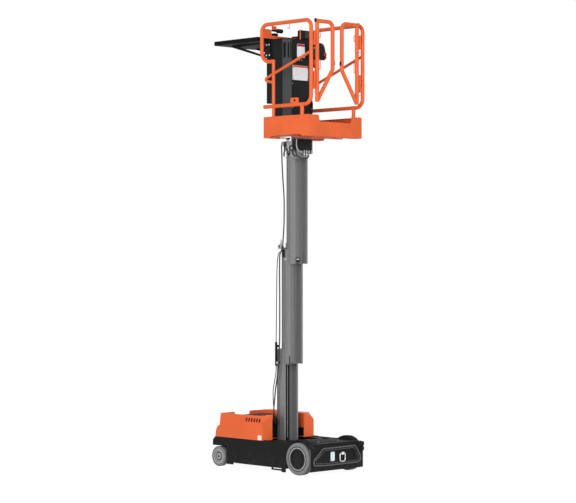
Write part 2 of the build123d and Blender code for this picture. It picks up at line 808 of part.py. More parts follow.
# Console guard: a folded black cover round the carriage, open towards the mast
with BuildPart() as console_guard:
    plan = [
        (guard_rear_x, guard_rear_w / 2),
        (guard_rear_x + (guard_w - guard_rear_w) / 2, guard_w / 2),
        (guard_front_x, guard_w / 2),
        (guard_front_x, -guard_w / 2),
        (guard_rear_x + (guard_w - guard_rear_w) / 2, -guard_w / 2),
        (guard_rear_x, -guard_rear_w / 2),
    ]
    outline(level(floor_z), plan, guard_top_z - floor_z)
    with BuildSketch(level(floor_z)):
        with BuildLine():
            Polyline(*plan, close=True)
        make_face()
        offset(amount=-guard_t, kind=Kind.INTERSECTION)
    extrude(amount=guard_top_z - guard_t - floor_z, mode=Mode.SUBTRACT)
    opening_y = guard_w / 2 - guard_lip_w
    block(guard_front_x - guard_t - 1, guard_front_x + 1, -opening_y, opening_y, floor_z - 1,
          guard_top_z - guard_t, mode=Mode.SUBTRACT)
save(console_guard.part, "console_guard")

# Controls on the console
with BuildPart() as control_panel:
    block(guard_rear_x - 15, guard_rear_x + 25, -100, 40, guard_top_z, guard_top_z + 85)
save(control_panel.part, "control_panel")
with BuildPart() as hand_control:
    block(guard_rear_x - 65, guard_rear_x, -283, -120, guard_top_z - 193, guard_top_z - 27)
save(hand_control.part, "hand_control")

# Tray rails on the front of the guard, with the tray's brackets and braces
arm_w = 16.0
arm_front_x = tray_front_x - 113
with BuildPart() as tray_support:
    for s in (1, -1):
        y0, y1 = sorted((s * (tray_rail_y - tray_rail_w / 2), s * (tray_rail_y + tray_rail_w / 2)))
        block(guard_front_x, tray_rear_x - 4, y0, y1, tray_rail_low_z, tray_rail_top_z)
        outline(
            side(s * tray_rail_y + arm_w / 2),
            [
                (tray_rear_x - 4, tray_z - tray_arm_h),
                (arm_front_x, tray_z - 14),
                (arm_front_x, tray_z),
                (tray_rear_x - 4, tray_z),
            ],
            arm_w,
        )
        outline(
            side(s * tray_rail_y + arm_w / 2 + 1),
            [
                (tray_rear_x + 26, tray_z - tray_arm_h + 28),
                (arm_front_x - 110, tray_z - 20),
                (tray_rear_x + 26, tray_z - 12),
            ],
            arm_w + 2,
            mode=Mode.SUBTRACT,
        )
save(tray_support.part, "tray_support")

with BuildPart() as tray:
    block(tray_rear_x, tray_front_x, -tray_w / 2, tray_w / 2, tray_z, tray_z + tray_h)
    block(tray_rear_x + tray_t, tray_front_x - tray_t, -tray_w / 2 + tray_t, tray_w / 2 - tray_t,
          tray_z + tray_t, tray_z + tray_h, mode=Mode.SUBTRACT)
save(tray.part, "tray")

# Wheels: tyre and hub turn together, on the axle stubs and on the steered knuckles
for name, s in (("left", 1), ("right", -1)):
    face = s * rear_face_y
    back = s * (rear_face_y - rear_wheel_w)
    with BuildPart() as rear_tyre:
        disc(0, rear_tyre_r, back, face, rear_tyre_r)
        fillet(rear_tyre.edges().filter_by(GeomType.CIRCLE), 9)
        disc(0, rear_tyre_r, back - s, face + s, rear_rim_r, mode=Mode.SUBTRACT)
    save(rear_tyre.part, f"rear_tyre_{name}")
    with BuildPart() as rear_hub:
        disc(0, rear_tyre_r, back + 4 * s, face - 8 * s, rear_rim_r)
        disc(0, rear_tyre_r, face - 16 * s, face - 3 * s, 70)
        disc(0, rear_tyre_r, back, face - 24 * s, axle_r + run_fit, mode=Mode.SUBTRACT)
    save(rear_hub.part, f"rear_hub_{name}")
    face = s * front_face_y
    back = s * (front_face_y - front_wheel_w)
    with BuildPart() as front_tyre:
        disc(wheelbase, front_tyre_r, back, face, front_tyre_r)
        fillet(front_tyre.edges().filter_by(GeomType.CIRCLE), 6)
        disc(wheelbase, front_tyre_r, back - s, face + s, front_rim_r, mode=Mode.SUBTRACT)
    save(front_tyre.part, f"front_tyre_{name}")
    with BuildPart() as front_hub:
        disc(wheelbase, front_tyre_r, back + 4 * s, face - 12 * s, front_rim_r)
        disc(wheelbase, front_tyre_r, face - 12 * s, face - 2 * s, 30)
        disc(wheelbase, front_tyre_r, back, face - 9 * s, stub_r + run_fit, mode=Mode.SUBTRACT)
    save(front_hub.part, f"front_hub_{name}")
    with BuildPart() as knuckle:
        y0, y1 = sorted((s * (kingpin_y - 20), s * (kingpin_y + 20)))
        block(wheelbase - 22, wheelbase + 22, y0, y1, 72, beam_low_z - 6)
        post(wheelbase, s * kingpin_y, 100, nose_z - 8, kingpin_r)
        disc(wheelbase, front_tyre_r, s * kingpin_y, face - 11 * s, stub_r)
    save(knuckle.part, f"knuckle_{name}")
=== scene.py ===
import json
import math

import bmesh
import bpy
import numpy as np
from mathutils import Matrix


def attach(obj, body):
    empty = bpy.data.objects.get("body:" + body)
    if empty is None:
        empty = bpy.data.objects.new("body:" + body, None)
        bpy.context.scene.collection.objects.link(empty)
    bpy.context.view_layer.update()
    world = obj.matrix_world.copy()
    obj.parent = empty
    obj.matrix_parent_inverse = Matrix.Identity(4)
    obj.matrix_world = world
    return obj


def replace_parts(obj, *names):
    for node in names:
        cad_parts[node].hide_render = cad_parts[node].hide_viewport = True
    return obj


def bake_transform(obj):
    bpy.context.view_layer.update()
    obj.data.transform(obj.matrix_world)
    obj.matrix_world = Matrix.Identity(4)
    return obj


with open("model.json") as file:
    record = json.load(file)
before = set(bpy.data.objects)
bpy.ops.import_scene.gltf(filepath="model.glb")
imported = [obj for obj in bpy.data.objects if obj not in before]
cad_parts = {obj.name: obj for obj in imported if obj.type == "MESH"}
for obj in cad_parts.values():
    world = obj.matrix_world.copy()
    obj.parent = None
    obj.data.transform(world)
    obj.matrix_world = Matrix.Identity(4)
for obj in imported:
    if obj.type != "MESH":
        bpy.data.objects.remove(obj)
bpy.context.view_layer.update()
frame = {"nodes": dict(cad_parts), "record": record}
nodes = frame["nodes"]
scene = bpy.context.scene
print("frame loaded:", len(nodes), "nodes")


class Wire:
    # One output socket of a node. Adding, scaling and comparing wires adds the Math nodes for it.

    def __init__(self, network, made, output=0):
        self.network, self.made = network, made
        self.socket = made.outputs[output] if made.outputs else None

    def math(self, operation, first, second=0.0):
        return self.network.node("ShaderNodeMath", {"operation": operation}, {0: first, 1: second})

    def __add__(self, other):
        return self.math("ADD", self, other)

    def __radd__(self, other):
        return self.math("ADD", other, self)

    def __sub__(self, other):
        return self.math("SUBTRACT", self, other)

    def __rsub__(self, other):
        return self.math("SUBTRACT", other, self)

    def __mul__(self, other):
        return self.math("MULTIPLY", self, other)

    def __rmul__(self, other):
        return self.math("MULTIPLY", other, self)

    def atLeast(self, other):
        # The larger of the two
        return self.math("MAXIMUM", self, other)


class Network:
    # A node tree, and the one method that adds a node: its type, its settings, then its sockets' values or links

    def __init__(self, tree):
        self.tree = tree
        tree.nodes.clear()

    def node(self, kind, settings=None, sockets=None, output=0):
        made = self.tree.nodes.new(kind)
        for key, value in (settings or {}).items():
            setattr(made, key, value)
        for key, value in (sockets or {}).items():
            if isinstance(value, Wire):
                self.tree.links.new(value.socket, made.inputs[key])
            else:
                made.inputs[key].default_value = value
        return Wire(self, made, output)


class Finish(Network):
    # A material: its Principled shader, and the patterns that the finishes below share

    def __init__(self, name, **constants):
        self.material = bpy.data.materials.new(name)
        self.material.use_nodes = True
        super().__init__(self.material.node_tree)
        fixed = {socket.replace("_", " "): value for socket, value in constants.items()}
        self.shader = self.node("ShaderNodeBsdfPrincipled", {}, fixed)
        self.out = self.node("ShaderNodeOutputMaterial", {}, {0: self.shader})

    def place(self, scale=(1, 1, 1)):
        # Object coordinates, stretched by scale
        where = self.node("ShaderNodeTexCoord", output="Object")
        return self.node("ShaderNodeMapping", {}, {"Vector": where, "Scale": scale})

    def noise(self, size, detail=3.0, stretch=(1, 1, 1)):
        # Noise whose grains are about size metres across
        return self.node(
            "ShaderNodeTexNoise",
            {"noise_dimensions": "3D"},
            {"Vector": self.place(stretch), "Scale": 1 / size, "Detail": detail, "Roughness": 0.55},
        )

    def mix(self, factor, first, second):
        # The first colour at factor 0, the second at 1
        return self.node(
            "ShaderNodeMix", {"data_type": "RGBA", "clamp_factor": True}, {"Factor": factor, 6: first, 7: second}, 2
        )

    def smooth(self, value, low, high):
        # 0 below low, 1 above high, smooth between
        return self.node(
            "ShaderNodeMapRange",
            {"interpolation_type": "SMOOTHSTEP", "clamp": True},
            {"Value": value, "From Min": low, "From Max": high},
        )

    def feed(self, socket, wire):
        # Joins a wire to one of the Principled shader's sockets
        self.tree.links.new(wire.socket, self.shader.made.inputs[socket])

    def bump(self, height, strength, distance):
        # Relief as high as distance metres where the height is 1
        self.feed("Normal", self.node(
            "ShaderNodeBump", {}, {"Height": height, "Strength": strength, "Distance": distance}))


def rgb(red, green, blue):
    # A colour that is fully opaque
    return (red, green, blue, 1.0)


def tint(colour, factor):
    # Each channel times the factor
    return (colour[0] * factor, colour[1] * factor, colour[2] * factor, 1.0)


axleX = -0.55375  # the rear axle's place along X in the frame, so that lengths below count from it

paintLook = {
    "orange": rgb(0.81, 0.137, 0.036),
    "black": rgb(0.0085, 0.0088, 0.0092),
    "dust": rgb(0.16, 0.14, 0.12),
}


def coatedSteel(name, colour, roughness, specular, grain, strength, dustTop=0.0):
    # Powder coat: orange-peel bump, colour that drifts a little, dust low down
    coat = Finish(name, Specular_IOR_Level=specular)
    drift = coat.noise(0.22, 4.0)
    cloud = coat.noise(0.035, 5.0)
    base = coat.mix(coat.smooth(drift, 0.35, 0.68), tint(colour, 0.94), tint(colour, 1.05))
    if dustTop:
        height = coat.node("ShaderNodeSeparateXYZ", {}, {0: coat.place()}, output=2)
        low = (1.0 - coat.smooth(height, 0.0, dustTop)) * coat.smooth(cloud, 0.42, 0.72) * 0.16
        base = coat.mix(low, base, paintLook["dust"])
    coat.feed("Base Color", base)
    coat.feed("Roughness", roughness - 0.05 + cloud * 0.10)
    coat.bump(coat.noise(grain, 2.0), strength, grain * 0.35)
    return coat.material


def extrudedAluminium():
    # Anodised extrusion: die lines run up the length, grey drifts a little, faint rub marks
    metal = Finish("anodisedAluminium", Metallic=0.5, Specular_IOR_Level=0.35)
    dieLines = metal.noise(0.0022, 2.0, (1, 1, 0.004))
    bands = metal.noise(0.018, 2.0, (1, 1, 0.01))
    rubs = metal.noise(0.030, 5.0, (1, 1, 0.15))
    worn = metal.smooth(rubs, 0.58, 0.78)
    grey = metal.mix(metal.smooth(bands, 0.3, 0.7), rgb(0.215, 0.215, 0.217), rgb(0.262, 0.262, 0.264))
    grey = metal.mix(worn * 0.5, grey, rgb(0.33, 0.33, 0.332))
    metal.feed("Base Color", grey)
    metal.feed("Roughness", 0.36 + dieLines * 0.10 - worn * 0.06)
    metal.bump(dieLines, 0.22, 0.0003)
    return metal.material


def platedSteel(name, colour, roughness):
    # Zinc plate: soft crystalline patches and fine scratches
    plate = Finish(name, Metallic=0.9)
    patches = plate.node(
        "ShaderNodeTexVoronoi", {"feature": "F1"}, {"Vector": plate.place(), "Scale": 160.0}, output=0
    )
    scratch = plate.noise(0.0015, 2.0, (1, 0.05, 1))
    plate.feed("Base Color", plate.mix(plate.smooth(patches, 0.1, 0.7), tint(colour, 0.85), tint(colour, 1.12)))
    plate.feed("Roughness", roughness + scratch * 0.12)
    plate.bump(scratch, 0.15, 0.0002)
    return plate.material


def polishedChrome():
    # Hard chrome: fine rings round the rod
    chrome = Finish("polishedRod", Metallic=1.0)
    rings = chrome.noise(0.0012, 2.0, (0.02, 0.02, 1))
    chrome.feed("Base Color", chrome.mix(rings, rgb(0.62, 0.63, 0.65), rgb(0.74, 0.75, 0.77)))
    chrome.feed("Roughness", 0.07 + rings * 0.07)
    chrome.bump(rings, 0.05, 0.0001)
    return chrome.material


def mouldedPlastic(name, colour, roughness, specular, grain, strength=0.35):
    # Spark-eroded grain with a slow change of sheen
    plastic = Finish(name, Specular_IOR_Level=specular)
    cells = plastic.node(
        "ShaderNodeTexVoronoi", {"feature": "SMOOTH_F1"}, {"Vector": plastic.place(), "Scale": 1 / grain}
    )
    haze = plastic.noise(0.05, 4.0)
    plastic.feed("Base Color", plastic.mix(haze, tint(colour, 0.85), tint(colour, 1.18)))
    plastic.feed("Roughness", roughness - 0.05 + haze * 0.12)
    plastic.bump(cells, strength, grain * 0.3)
    return plastic.material


def solidTyre():
    # Non-marking grey rubber: fine moulding grain, scuffed paler where it rolls
    rubber = Finish("greyTyre", Specular_IOR_Level=0.25)
    scuff = rubber.noise(0.012, 6.0)
    mould = rubber.noise(0.0012, 3.0)
    worn = rubber.smooth(scuff, 0.35, 0.7)
    rubber.feed("Base Color", rubber.mix(worn, rgb(0.19, 0.19, 0.195), rgb(0.27, 0.27, 0.275)))
    rubber.feed("Roughness", 0.62 + scuff * 0.18)
    rubber.bump(mould + scuff * 0.6, 0.35, 0.0006)
    return rubber.material


def cableJacket():
    # Extruded jacket: near black, a little uneven in sheen
    jacket = Finish("cableJacket", Specular_IOR_Level=0.35)
    haze = jacket.noise(0.02, 3.0)
    jacket.feed("Base Color", jacket.mix(haze, rgb(0.010, 0.010, 0.011), rgb(0.020, 0.020, 0.021)))
    jacket.feed("Roughness", 0.42 + haze * 0.12)
    jacket.bump(jacket.noise(0.0015, 2.0), 0.2, 0.0003)
    return jacket.material


finishes = {
    "black_paint": coatedSteel("blackCoat", paintLook["black"], 0.62, 0.13, 0.0011, 0.45, 0.25),
    # Painted highlight: this black is lightened eight times so that the beads on it show as light lines
    "black_gloss": coatedSteel("glossBlackHighlight", tint(paintLook["black"], 8.0), 0.26, 0.6, 0.0016, 0.12),
    "orange_paint": coatedSteel("orangeCoat", paintLook["orange"], 0.42, 0.22, 0.0012, 0.25),
    "orange_cover": coatedSteel("orangeShell", tint(paintLook["orange"], 1.10), 0.36, 0.24, 0.0035, 0.10, 0.33),
    "aluminium": extrudedAluminium(),
    "steel": platedSteel("zincPlate", rgb(0.34, 0.34, 0.35), 0.30),
    "bright_zinc": platedSteel("brightZinc", rgb(0.80, 0.80, 0.80), 0.34),
    "chrome": polishedChrome(),
    "tyre_grey": solidTyre(),
    "rim": coatedSteel("blackDisc", paintLook["black"], 0.5, 0.16, 0.0011, 0.3, 0.2),
    "light_rim": coatedSteel("paleDisc", rgb(0.40, 0.40, 0.41), 0.45, 0.4, 0.0011, 0.3, 0.12),
    "nylon": mouldedPlastic("padNylon", rgb(0.50, 0.50, 0.47), 0.5, 0.4, 0.0012),
    "black_plastic": mouldedPlastic("blackPlastic", rgb(0.0080, 0.0102, 0.0108), 0.50, 0.14, 0.0009),
    # Painted shade: a near black that stands in for the shade in the louvres, the guard's slots and the mast channels'
    # corners
    "shade_black": mouldedPlastic("shadeBlack", rgb(0.004, 0.0042, 0.0045), 0.6, 0.08, 0.0009),
    "battery": mouldedPlastic("batteryCase", rgb(0.03, 0.03, 0.033), 0.5, 0.4, 0.0012),
    "cable": cableJacket(),
    "grey_hose": mouldedPlastic("greyHose", rgb(0.42, 0.42, 0.425), 0.5, 0.35, 0.0010),
    "signal_red": mouldedPlastic("signalRed", rgb(0.42, 0.018, 0.014), 0.38, 0.4, 0.0009, 0.15),
    "pale_label": mouldedPlastic("paleLabel", rgb(0.86, 0.92, 0.95), 0.5, 0.3, 0.0008, 0.08),
    # Where it colours the rear tyres' groove ring, this near black is painted shade
    "dark_rubber": mouldedPlastic("darkRubber", rgb(0.030, 0.030, 0.031), 0.65, 0.2, 0.0010),
    # Painted highlight: a pale grey for the rings where light catches the tyres' shoulders
    "highlight_rubber": mouldedPlastic("highlightRubber", rgb(0.52, 0.52, 0.525), 0.5, 0.3, 0.0010),
    "dull_red": mouldedPlastic("dullRed", rgb(0.10, 0.012, 0.010), 0.4, 0.4, 0.0009, 0.15),
    # Painted light: a paler copy of the guard's near black, for the faces of its chamfer
    "painted_light_grey": mouldedPlastic("paintedLightGrey", rgb(0.030, 0.034, 0.036), 0.5, 0.3, 0.0008, 0.1),
    "grey_keys": mouldedPlastic("greyKeys", rgb(0.12, 0.12, 0.12), 0.45, 0.35, 0.0007, 0.15),
    # Painted shade: a dark reddish brown copied from the shaded floor of the hood's top recess, orange bounce included
    "hood_mat_shade": mouldedPlastic("hoodMatShade", rgb(0.088, 0.034, 0.036), 0.7, 0.2, 0.0011),
}
slotOf = {part["node"]: part["material_slot"] for part in frame["record"]["subparts"]}
print("finishes ready:", len(finishes))


edgeLook = {
    "weld": 0.00002, "flat": math.radians(0.6), "rounds": 2, "limit": math.radians(34),
    "widths": {"hood": 0.004, "platform_pan": 0.0025, "chassis_tub": 0.003, "rear_panel": 0.0025, "rear_deck": 0.002,
               "tray": 0.002, "ground_control": 0.004, "control_panel": 0.004},
}
# The tray's finish is a darker, duller black: partly its own black plastic, partly painted shade for its underside
nodeFinish = {"tow_ring": "bright_zinc", "tray": "shade_black"}  # where a node's finish isn't its record slot's


def roundEdges(node, width):
    # Live modifiers round a CAD node's sharp edges and leave its own mesh alone
    weld = node.modifiers.new("joinDoubles", "WELD")
    weld.merge_threshold = edgeLook["weld"]
    flat = node.modifiers.new("flatFaces", "DECIMATE")
    flat.decimate_type = "DISSOLVE"
    flat.angle_limit = edgeLook["flat"]
    bevel = node.modifiers.new("softEdges", "BEVEL")
    bevel.width = width
    bevel.segments = edgeLook["rounds"]
    bevel.limit_method = "ANGLE"
    bevel.angle_limit = edgeLook["limit"]
    bevel.harden_normals = False


for name, node in nodes.items():
    node.data.materials.clear()
    node.data.materials.append(finishes[nodeFinish.get(name, slotOf[name])])
    if name in edgeLook["widths"]:
        roundEdges(node, edgeLook["widths"][name])
print("nodes finished")


def fromAxle(points):
    # Millimetres forward of the rear axle, to the left and up, turned into the frame's metres
    return np.asarray(points, float) / 1000 + np.array((axleX, 0, 0))


class Form:
    # Points with their quads and flat end faces. Adding forms puts them together in one mesh, moved() adds an
    # offset to each point, mirrored() turns y round, and paired() is a form with its mirror image.

    def __init__(self, points, quads, caps=()):
        self.points = np.asarray(points, float).reshape(-1, 3)
        self.quads = np.asarray(quads, int).reshape(-1, 4)
        self.caps = [np.asarray(cap, int) for cap in caps]

    def __add__(self, other):
        shift = len(self.points)
        return Form(
            np.vstack((self.points, other.points)),
            np.vstack((self.quads, other.quads + shift)),
            self.caps + [cap + shift for cap in other.caps],
        )

    def moved(self, offset):
        return Form(self.points + np.asarray(offset, float), self.quads, self.caps)

    def mirrored(self):
        return Form(self.points * (1, -1, 1), self.quads, self.caps)

    def paired(self):
        return self + self.mirrored()


def together(forms):
    # The sum of the forms
    whole = forms[0]
    for form in forms[1:]:
        whole = whole + form
    return whole


def copiesAt(form, places):
    # The form's points plus each place in turn
    return together([form.moved(place) for place in places])


def rings(points, endCaps=True, loop=False):
    # Skin over rows of closed rings: each quad joins two neighbours of one ring to the next ring
    rows, around = points.shape[:2]
    index = np.arange(rows * around).reshape(rows, around)
    if loop:
        index = np.vstack((index, index[:1]))
    low, high = index[:-1], index[1:]
    quads = np.stack((low, np.roll(low, -1, 1), np.roll(high, -1, 1), high), axis=-1)
    caps = [index[0][::-1], index[-1]] if endCaps and not loop else []
    return Form(points, quads, caps)


def unit(vectors):
    # Vectors divided by their own lengths
    return vectors / np.linalg.norm(vectors, axis=-1, keepdims=True)


def smoothPath(points, steps=8):
    # Catmull-Rom curve through the points: a cubic between each two, whose slopes follow their neighbours
    p = np.asarray(points, float)
    p = np.vstack((2 * p[0] - p[1], p, 2 * p[-1] - p[-2]))
    t = np.linspace(0, 1, steps, endpoint=False)[None, :, None]
    a, b, c, d = p[:-3, None], p[1:-2, None], p[2:-1, None], p[3:, None]
    curve = 0.5 * (2 * b + (c - a) * t + (2 * a - 5 * b + 4 * c - d) * t**2 + (3 * b - a - 3 * c + d) * t**3)
    return np.vstack((curve.reshape(-1, 3), p[-2]))


def tube(path, radius, sides=12, loop=False, across=(0, 1, 0)):
    # A circle of the radius carried along a path, turned square to the path's own direction
    path, across = np.asarray(path, float), np.asarray(across, float)
    ahead = unit(np.roll(path, -1, 0) - np.roll(path, 1, 0) if loop else np.gradient(path, axis=0))
    sideways = unit(across - (ahead @ across)[:, None] * ahead)
    upward = np.cross(ahead, sideways)
    turn = np.linspace(0, 2 * np.pi, sides, endpoint=False)
    circle = np.cos(turn)[None, :, None] * sideways[:, None] + np.sin(turn)[None, :, None] * upward[:, None]
    radius = np.broadcast_to(np.asarray(radius, float), len(path))
    return rings(path[:, None] + circle * radius[:, None, None], loop=loop)


def turned(centre, profile, axis="y", sides=32):
    # A profile of (place along the axis, radius) turned round it
    profile = np.asarray(profile, float)
    turn = np.linspace(0, 2 * np.pi, sides, endpoint=False)
    along, first, second = {"x": (0, 1, 2), "y": (1, 2, 0), "z": (2, 0, 1)}[axis]
    points = np.zeros((len(profile), sides, 3))
    points[..., along] = profile[:, :1]
    points[..., first] = profile[:, 1:] * np.cos(turn)
    points[..., second] = profile[:, 1:] * np.sin(turn)
    return rings(points + np.asarray(centre, float))


def ringTurned(centre, profile, axis="y", sides=48):
    # A closed profile turned round the axis, for a ring with a hole
    form = turned(centre, profile, axis, sides)
    index = np.arange(len(profile) * sides).reshape(len(profile), sides)
    low, high = index, np.roll(index, -1, 0)
    quads = np.stack((low, np.roll(low, -1, 1), np.roll(high, -1, 1), high), axis=-1)
    return Form(form.points, quads)


def roundedOutline(width, height, radius, steps=5):
    # Four quarter circles at the corners of a rectangle, joined by straight sides
    turn = np.linspace(0, np.pi / 2, steps + 1)
    quarter = np.stack((np.cos(turn), np.sin(turn)), -1) * radius
    spins = [(1, 1, 0), (-1, 1, 1), (-1, -1, 2), (1, -1, 3)]
    corners = []
    for sx, sy, quarters in spins:
        c, s = math.cos(quarters * math.pi / 2), math.sin(quarters * math.pi / 2)
        spun = quarter @ np.array(((c, s), (-s, c)))
        corners.append(spun + (sx * (width / 2 - radius), sy * (height / 2 - radius)))
    return np.vstack(corners)


def slab(outline, centre, across, up, thick, bevel=0.0):
    # An outline lying along across and up, given a thickness along their cross product, its rims bevelled
    across, up = unit(np.asarray(across, float)), unit(np.asarray(up, float))
    out = np.cross(across, up)
    outline = np.asarray(outline, float)
    middle = (outline.max(0) + outline.min(0)) / 2
    reach = np.maximum(np.abs(outline - middle).max(0), 1e-6)
    shrunk = (outline - middle) * (1 - bevel / reach) + middle
    levels = ((0.0, shrunk), (bevel, outline), (thick - bevel, outline), (thick, shrunk)) if bevel else (
        (0.0, outline), (thick, outline))
    layers = [ring[:, :1] * across + ring[:, 1:] * up + depth * out for depth, ring in levels]
    return rings(np.stack(layers) + np.asarray(centre, float))


def softBox(low, high, radius, steps=4):
    # Each direction n of a ball gives the point sign(n) * (half size - radius) + n * radius
    low, high = np.asarray(low, float), np.asarray(high, float)
    half, centre = (high - low) / 2, (high + low) / 2
    radius = min(radius, *(half * 0.999))
    quarter = np.linspace(0, np.pi / 2, steps + 1)
    rise = np.concatenate((-quarter[::-1], quarter))
    side = np.concatenate([quarter + k * np.pi / 2 for k in range(4)])
    signs = np.repeat(np.array(((1, 1), (-1, 1), (-1, -1), (1, -1))), steps + 1, axis=0)
    lift = np.concatenate((-np.ones(steps + 1), np.ones(steps + 1)))
    points = np.zeros((len(rise), len(side), 3))
    points[..., 0] = np.cos(rise)[:, None] * np.cos(side) * radius + signs[:, 0] * (half[0] - radius)
    points[..., 1] = np.cos(rise)[:, None] * np.sin(side) * radius + signs[:, 1] * (half[1] - radius)
    points[..., 2] = (np.sin(rise) * radius + lift * (half[2] - radius))[:, None]
    return rings(points + centre)


def boltHead(size, axis, sign=1):
    # A hexagon head with a chamfered face on a round washer, standing out along the axis
    washer = ((0.0, 0.78), (0.07, 0.78), (0.09, 0.72))
    head = ((0.09, 0.5), (0.40, 0.5), (0.46, 0.43))
    scale = np.array((sign * size, size))
    return turned((0, 0, 0), np.array(washer) * scale, axis, 18) + turned((0, 0, 0), np.array(head) * scale, axis, 6)


def boxes(*rows):
    # Rounded blocks, each from its low corner, high corner, edge radius and, if given, steps
    return together([softBox(*row) for row in rows])


def boltsAt(size, axis, places, sign=1):
    # One bolt head at each place
    return copiesAt(boltHead(size, axis, sign), places)


def addPiece(name, form, look, body, smooth=35):
    # Puts a form, given in millimetres from the axle, into the scene as one piece, which rides on the body when one is
    # given
    mesh = bpy.data.meshes.new(name)
    places = fromAxle(form.points)
    mesh.from_pydata(places.tolist(), [], form.quads.tolist() + [cap.tolist() for cap in form.caps])
    work = bmesh.new()
    work.from_mesh(mesh)
    bmesh.ops.remove_doubles(work, verts=work.verts, dist=0.00001)
    bmesh.ops.recalc_face_normals(work, faces=work.faces)
    work.to_mesh(mesh)
    work.free()
    mesh.polygons.foreach_set("use_smooth", np.ones(len(mesh.polygons), bool))
    mesh.set_sharp_from_angle(angle=math.radians(smooth))
    piece = bpy.data.objects.new(name, mesh)
    scene.collection.objects.link(piece)
    mesh.materials.append(finishes[look])
    if body:
        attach(piece, body)
    return piece


wheelLook = {
    "rear": {"centre": (0, 0, 158.5), "face": 376.0},
    "front": {"centre": (1150, 0, 101.5), "face": 364.0},
    "nuts": {"count": 5, "circle": 52.0, "turn": 0.3, "size": 13, "sunk": 3},
    "rings": {  # piece: wheel, finish and closed profiles of (stand-off from the wheel's side, radius)
        "rearTyreBands": ("rear", "tyre_grey", (
            (72, ((-3, 125.5), (1.4, 127.5), (1.8, 132.5), (1.4, 144.5), (-1, 147.5), (-5, 146.5), (-5, 126.5))),
            (72, ((-2, 149.5), (0.6, 150.5), (0.6, 153.5), (-2, 155.5), (-5, 154.5), (-5, 150.5))))),
        # Painted shade: this near black ring stands in for the shade in the tyre's sidewall groove
        "rearTyreGrooveShade": ("rear", "dark_rubber", (
            (72, ((-3, 112.5), (0.7, 113.5), (0.9, 118.5), (0.7, 122.5), (-3, 123.5))),)),
        # Painted highlight: a pale ring where light catches the rear tyre's shoulder
        "rearTyreShoulderHighlight": ("rear", "highlight_rubber", (
            (72, ((-3, 103.5), (0.8, 104.5), (1.4, 107.5), (0.8, 110.5), (-3, 111.5))),)),
        "rearRimLip": ("rear", "rim", (
            (64, ((-9, 80), (-2.5, 83), (-1.5, 89), (0.8, 93), (1.0, 101), (-4, 103.5))),)),
        "frontTyreBand": ("front", "tyre_grey", (
            (64, ((-3, 75.5), (1.0, 77.5), (1.3, 83.5), (1.0, 91.5), (-1, 93.5), (-5, 92.5), (-5, 76.5))),)),
        # Painted highlight: a pale ring where light catches the front tyre's shoulder
        "frontTyreShoulderHighlight": ("front", "highlight_rubber", (
            (56, ((-4, 63), (1.2, 65), (1.8, 69), (1.2, 73), (-4, 74))),)),
        "frontHubDish": ("front", "light_rim", (
            (56, ((-13, 61), (-6, 59), (-5, 52), (-7, 46), (-13, 45))),
            (48, ((-13, 34), (-6, 33), (-4, 28), (-4, 18), (-13, 16))))),
        "frontHubRing": ("front", "rim", ((48, ((-13, 45), (-8, 44), (-8, 35), (-13, 34))),)),
    },
    "caps": {"rearRimLip": (32, ((-6, 30), (-1, 28), (1.2, 22), (1.6, 4))),
             "frontHubRing": (28, ((-13, 15), (-3, 13), (-1, 10), (-0.6, 3)))},
}


def wheelDetails():
    # Bands and rim rings are closed profiles turned round the axle, hub caps open ones, and nuts stand on a circle
    for side, s in (("left", 1), ("right", -1)):
        for name, (wheel, look, profiles) in wheelLook["rings"].items():
            centre, face = wheelLook[wheel]["centre"], wheelLook[wheel]["face"]
            forms = [ringTurned(centre, [(s * (face + out), r) for out, r in ring], "y", sides)
                     for sides, ring in profiles]
            if name in wheelLook["caps"]:
                sides, cap = wheelLook["caps"][name]
                forms.append(turned(centre, [(s * (face + out), r) for out, r in cap], "y", sides))
            addPiece(f"{name}{side.title()}", together(forms), look, f"wheel_{wheel}_{side}", 40)
        nuts, rear = wheelLook["nuts"], wheelLook["rear"]
        turn = np.arange(nuts["count"]) * 2 * np.pi / nuts["count"] + nuts["turn"]
        seats = np.stack((np.cos(turn) * nuts["circle"], np.full(len(turn), s * (rear["face"] - nuts["sunk"])),
                          np.sin(turn) * nuts["circle"] + rear["centre"][2]), -1)
        addPiece(f"rearWheelNuts{side.title()}", boltsAt(nuts["size"], "y", seats, s), "rim", f"wheel_rear_{side}")
    print("wheels detailed")


panelLook = {
    "faceX": -167.0,
    "bead": ((189, 258), (318, 156), (322, 104), (208, 95), (-276, 96), (-330, 110), (-332, 156), (-256, 261)),
    "beadRadius": 8.0, "cornerReach": 14.0,
    "inner": {"across": 0.90, "up": 0.78, "middleZ": 178, "radius": 3.5},
    "plate": {"middle": (64, 176), "size": (56, 90), "screws": (22, 39)},
    "socket": {"middle": (-255, 181), "size": (42, 64), "rim": 14},
    "blocks": {"cornerBumper": ((-189, -377, 200), (-150, -335, 252), 19, 6),
               "cornerBracket": ((-184, -375, 250), (-150, -300, 296), 8),
               "cornerBumperNear": ((-176, 346, 262), (-152, 374, 296), 9)},
    "reflector": {"middle": (332, 276), "profile": ((-1, 9), (-4, 9), (-6, 7), (-7, 3))},
    "footBolts": {"y": (60, 180, 300), "z": 62, "size": 12},
}


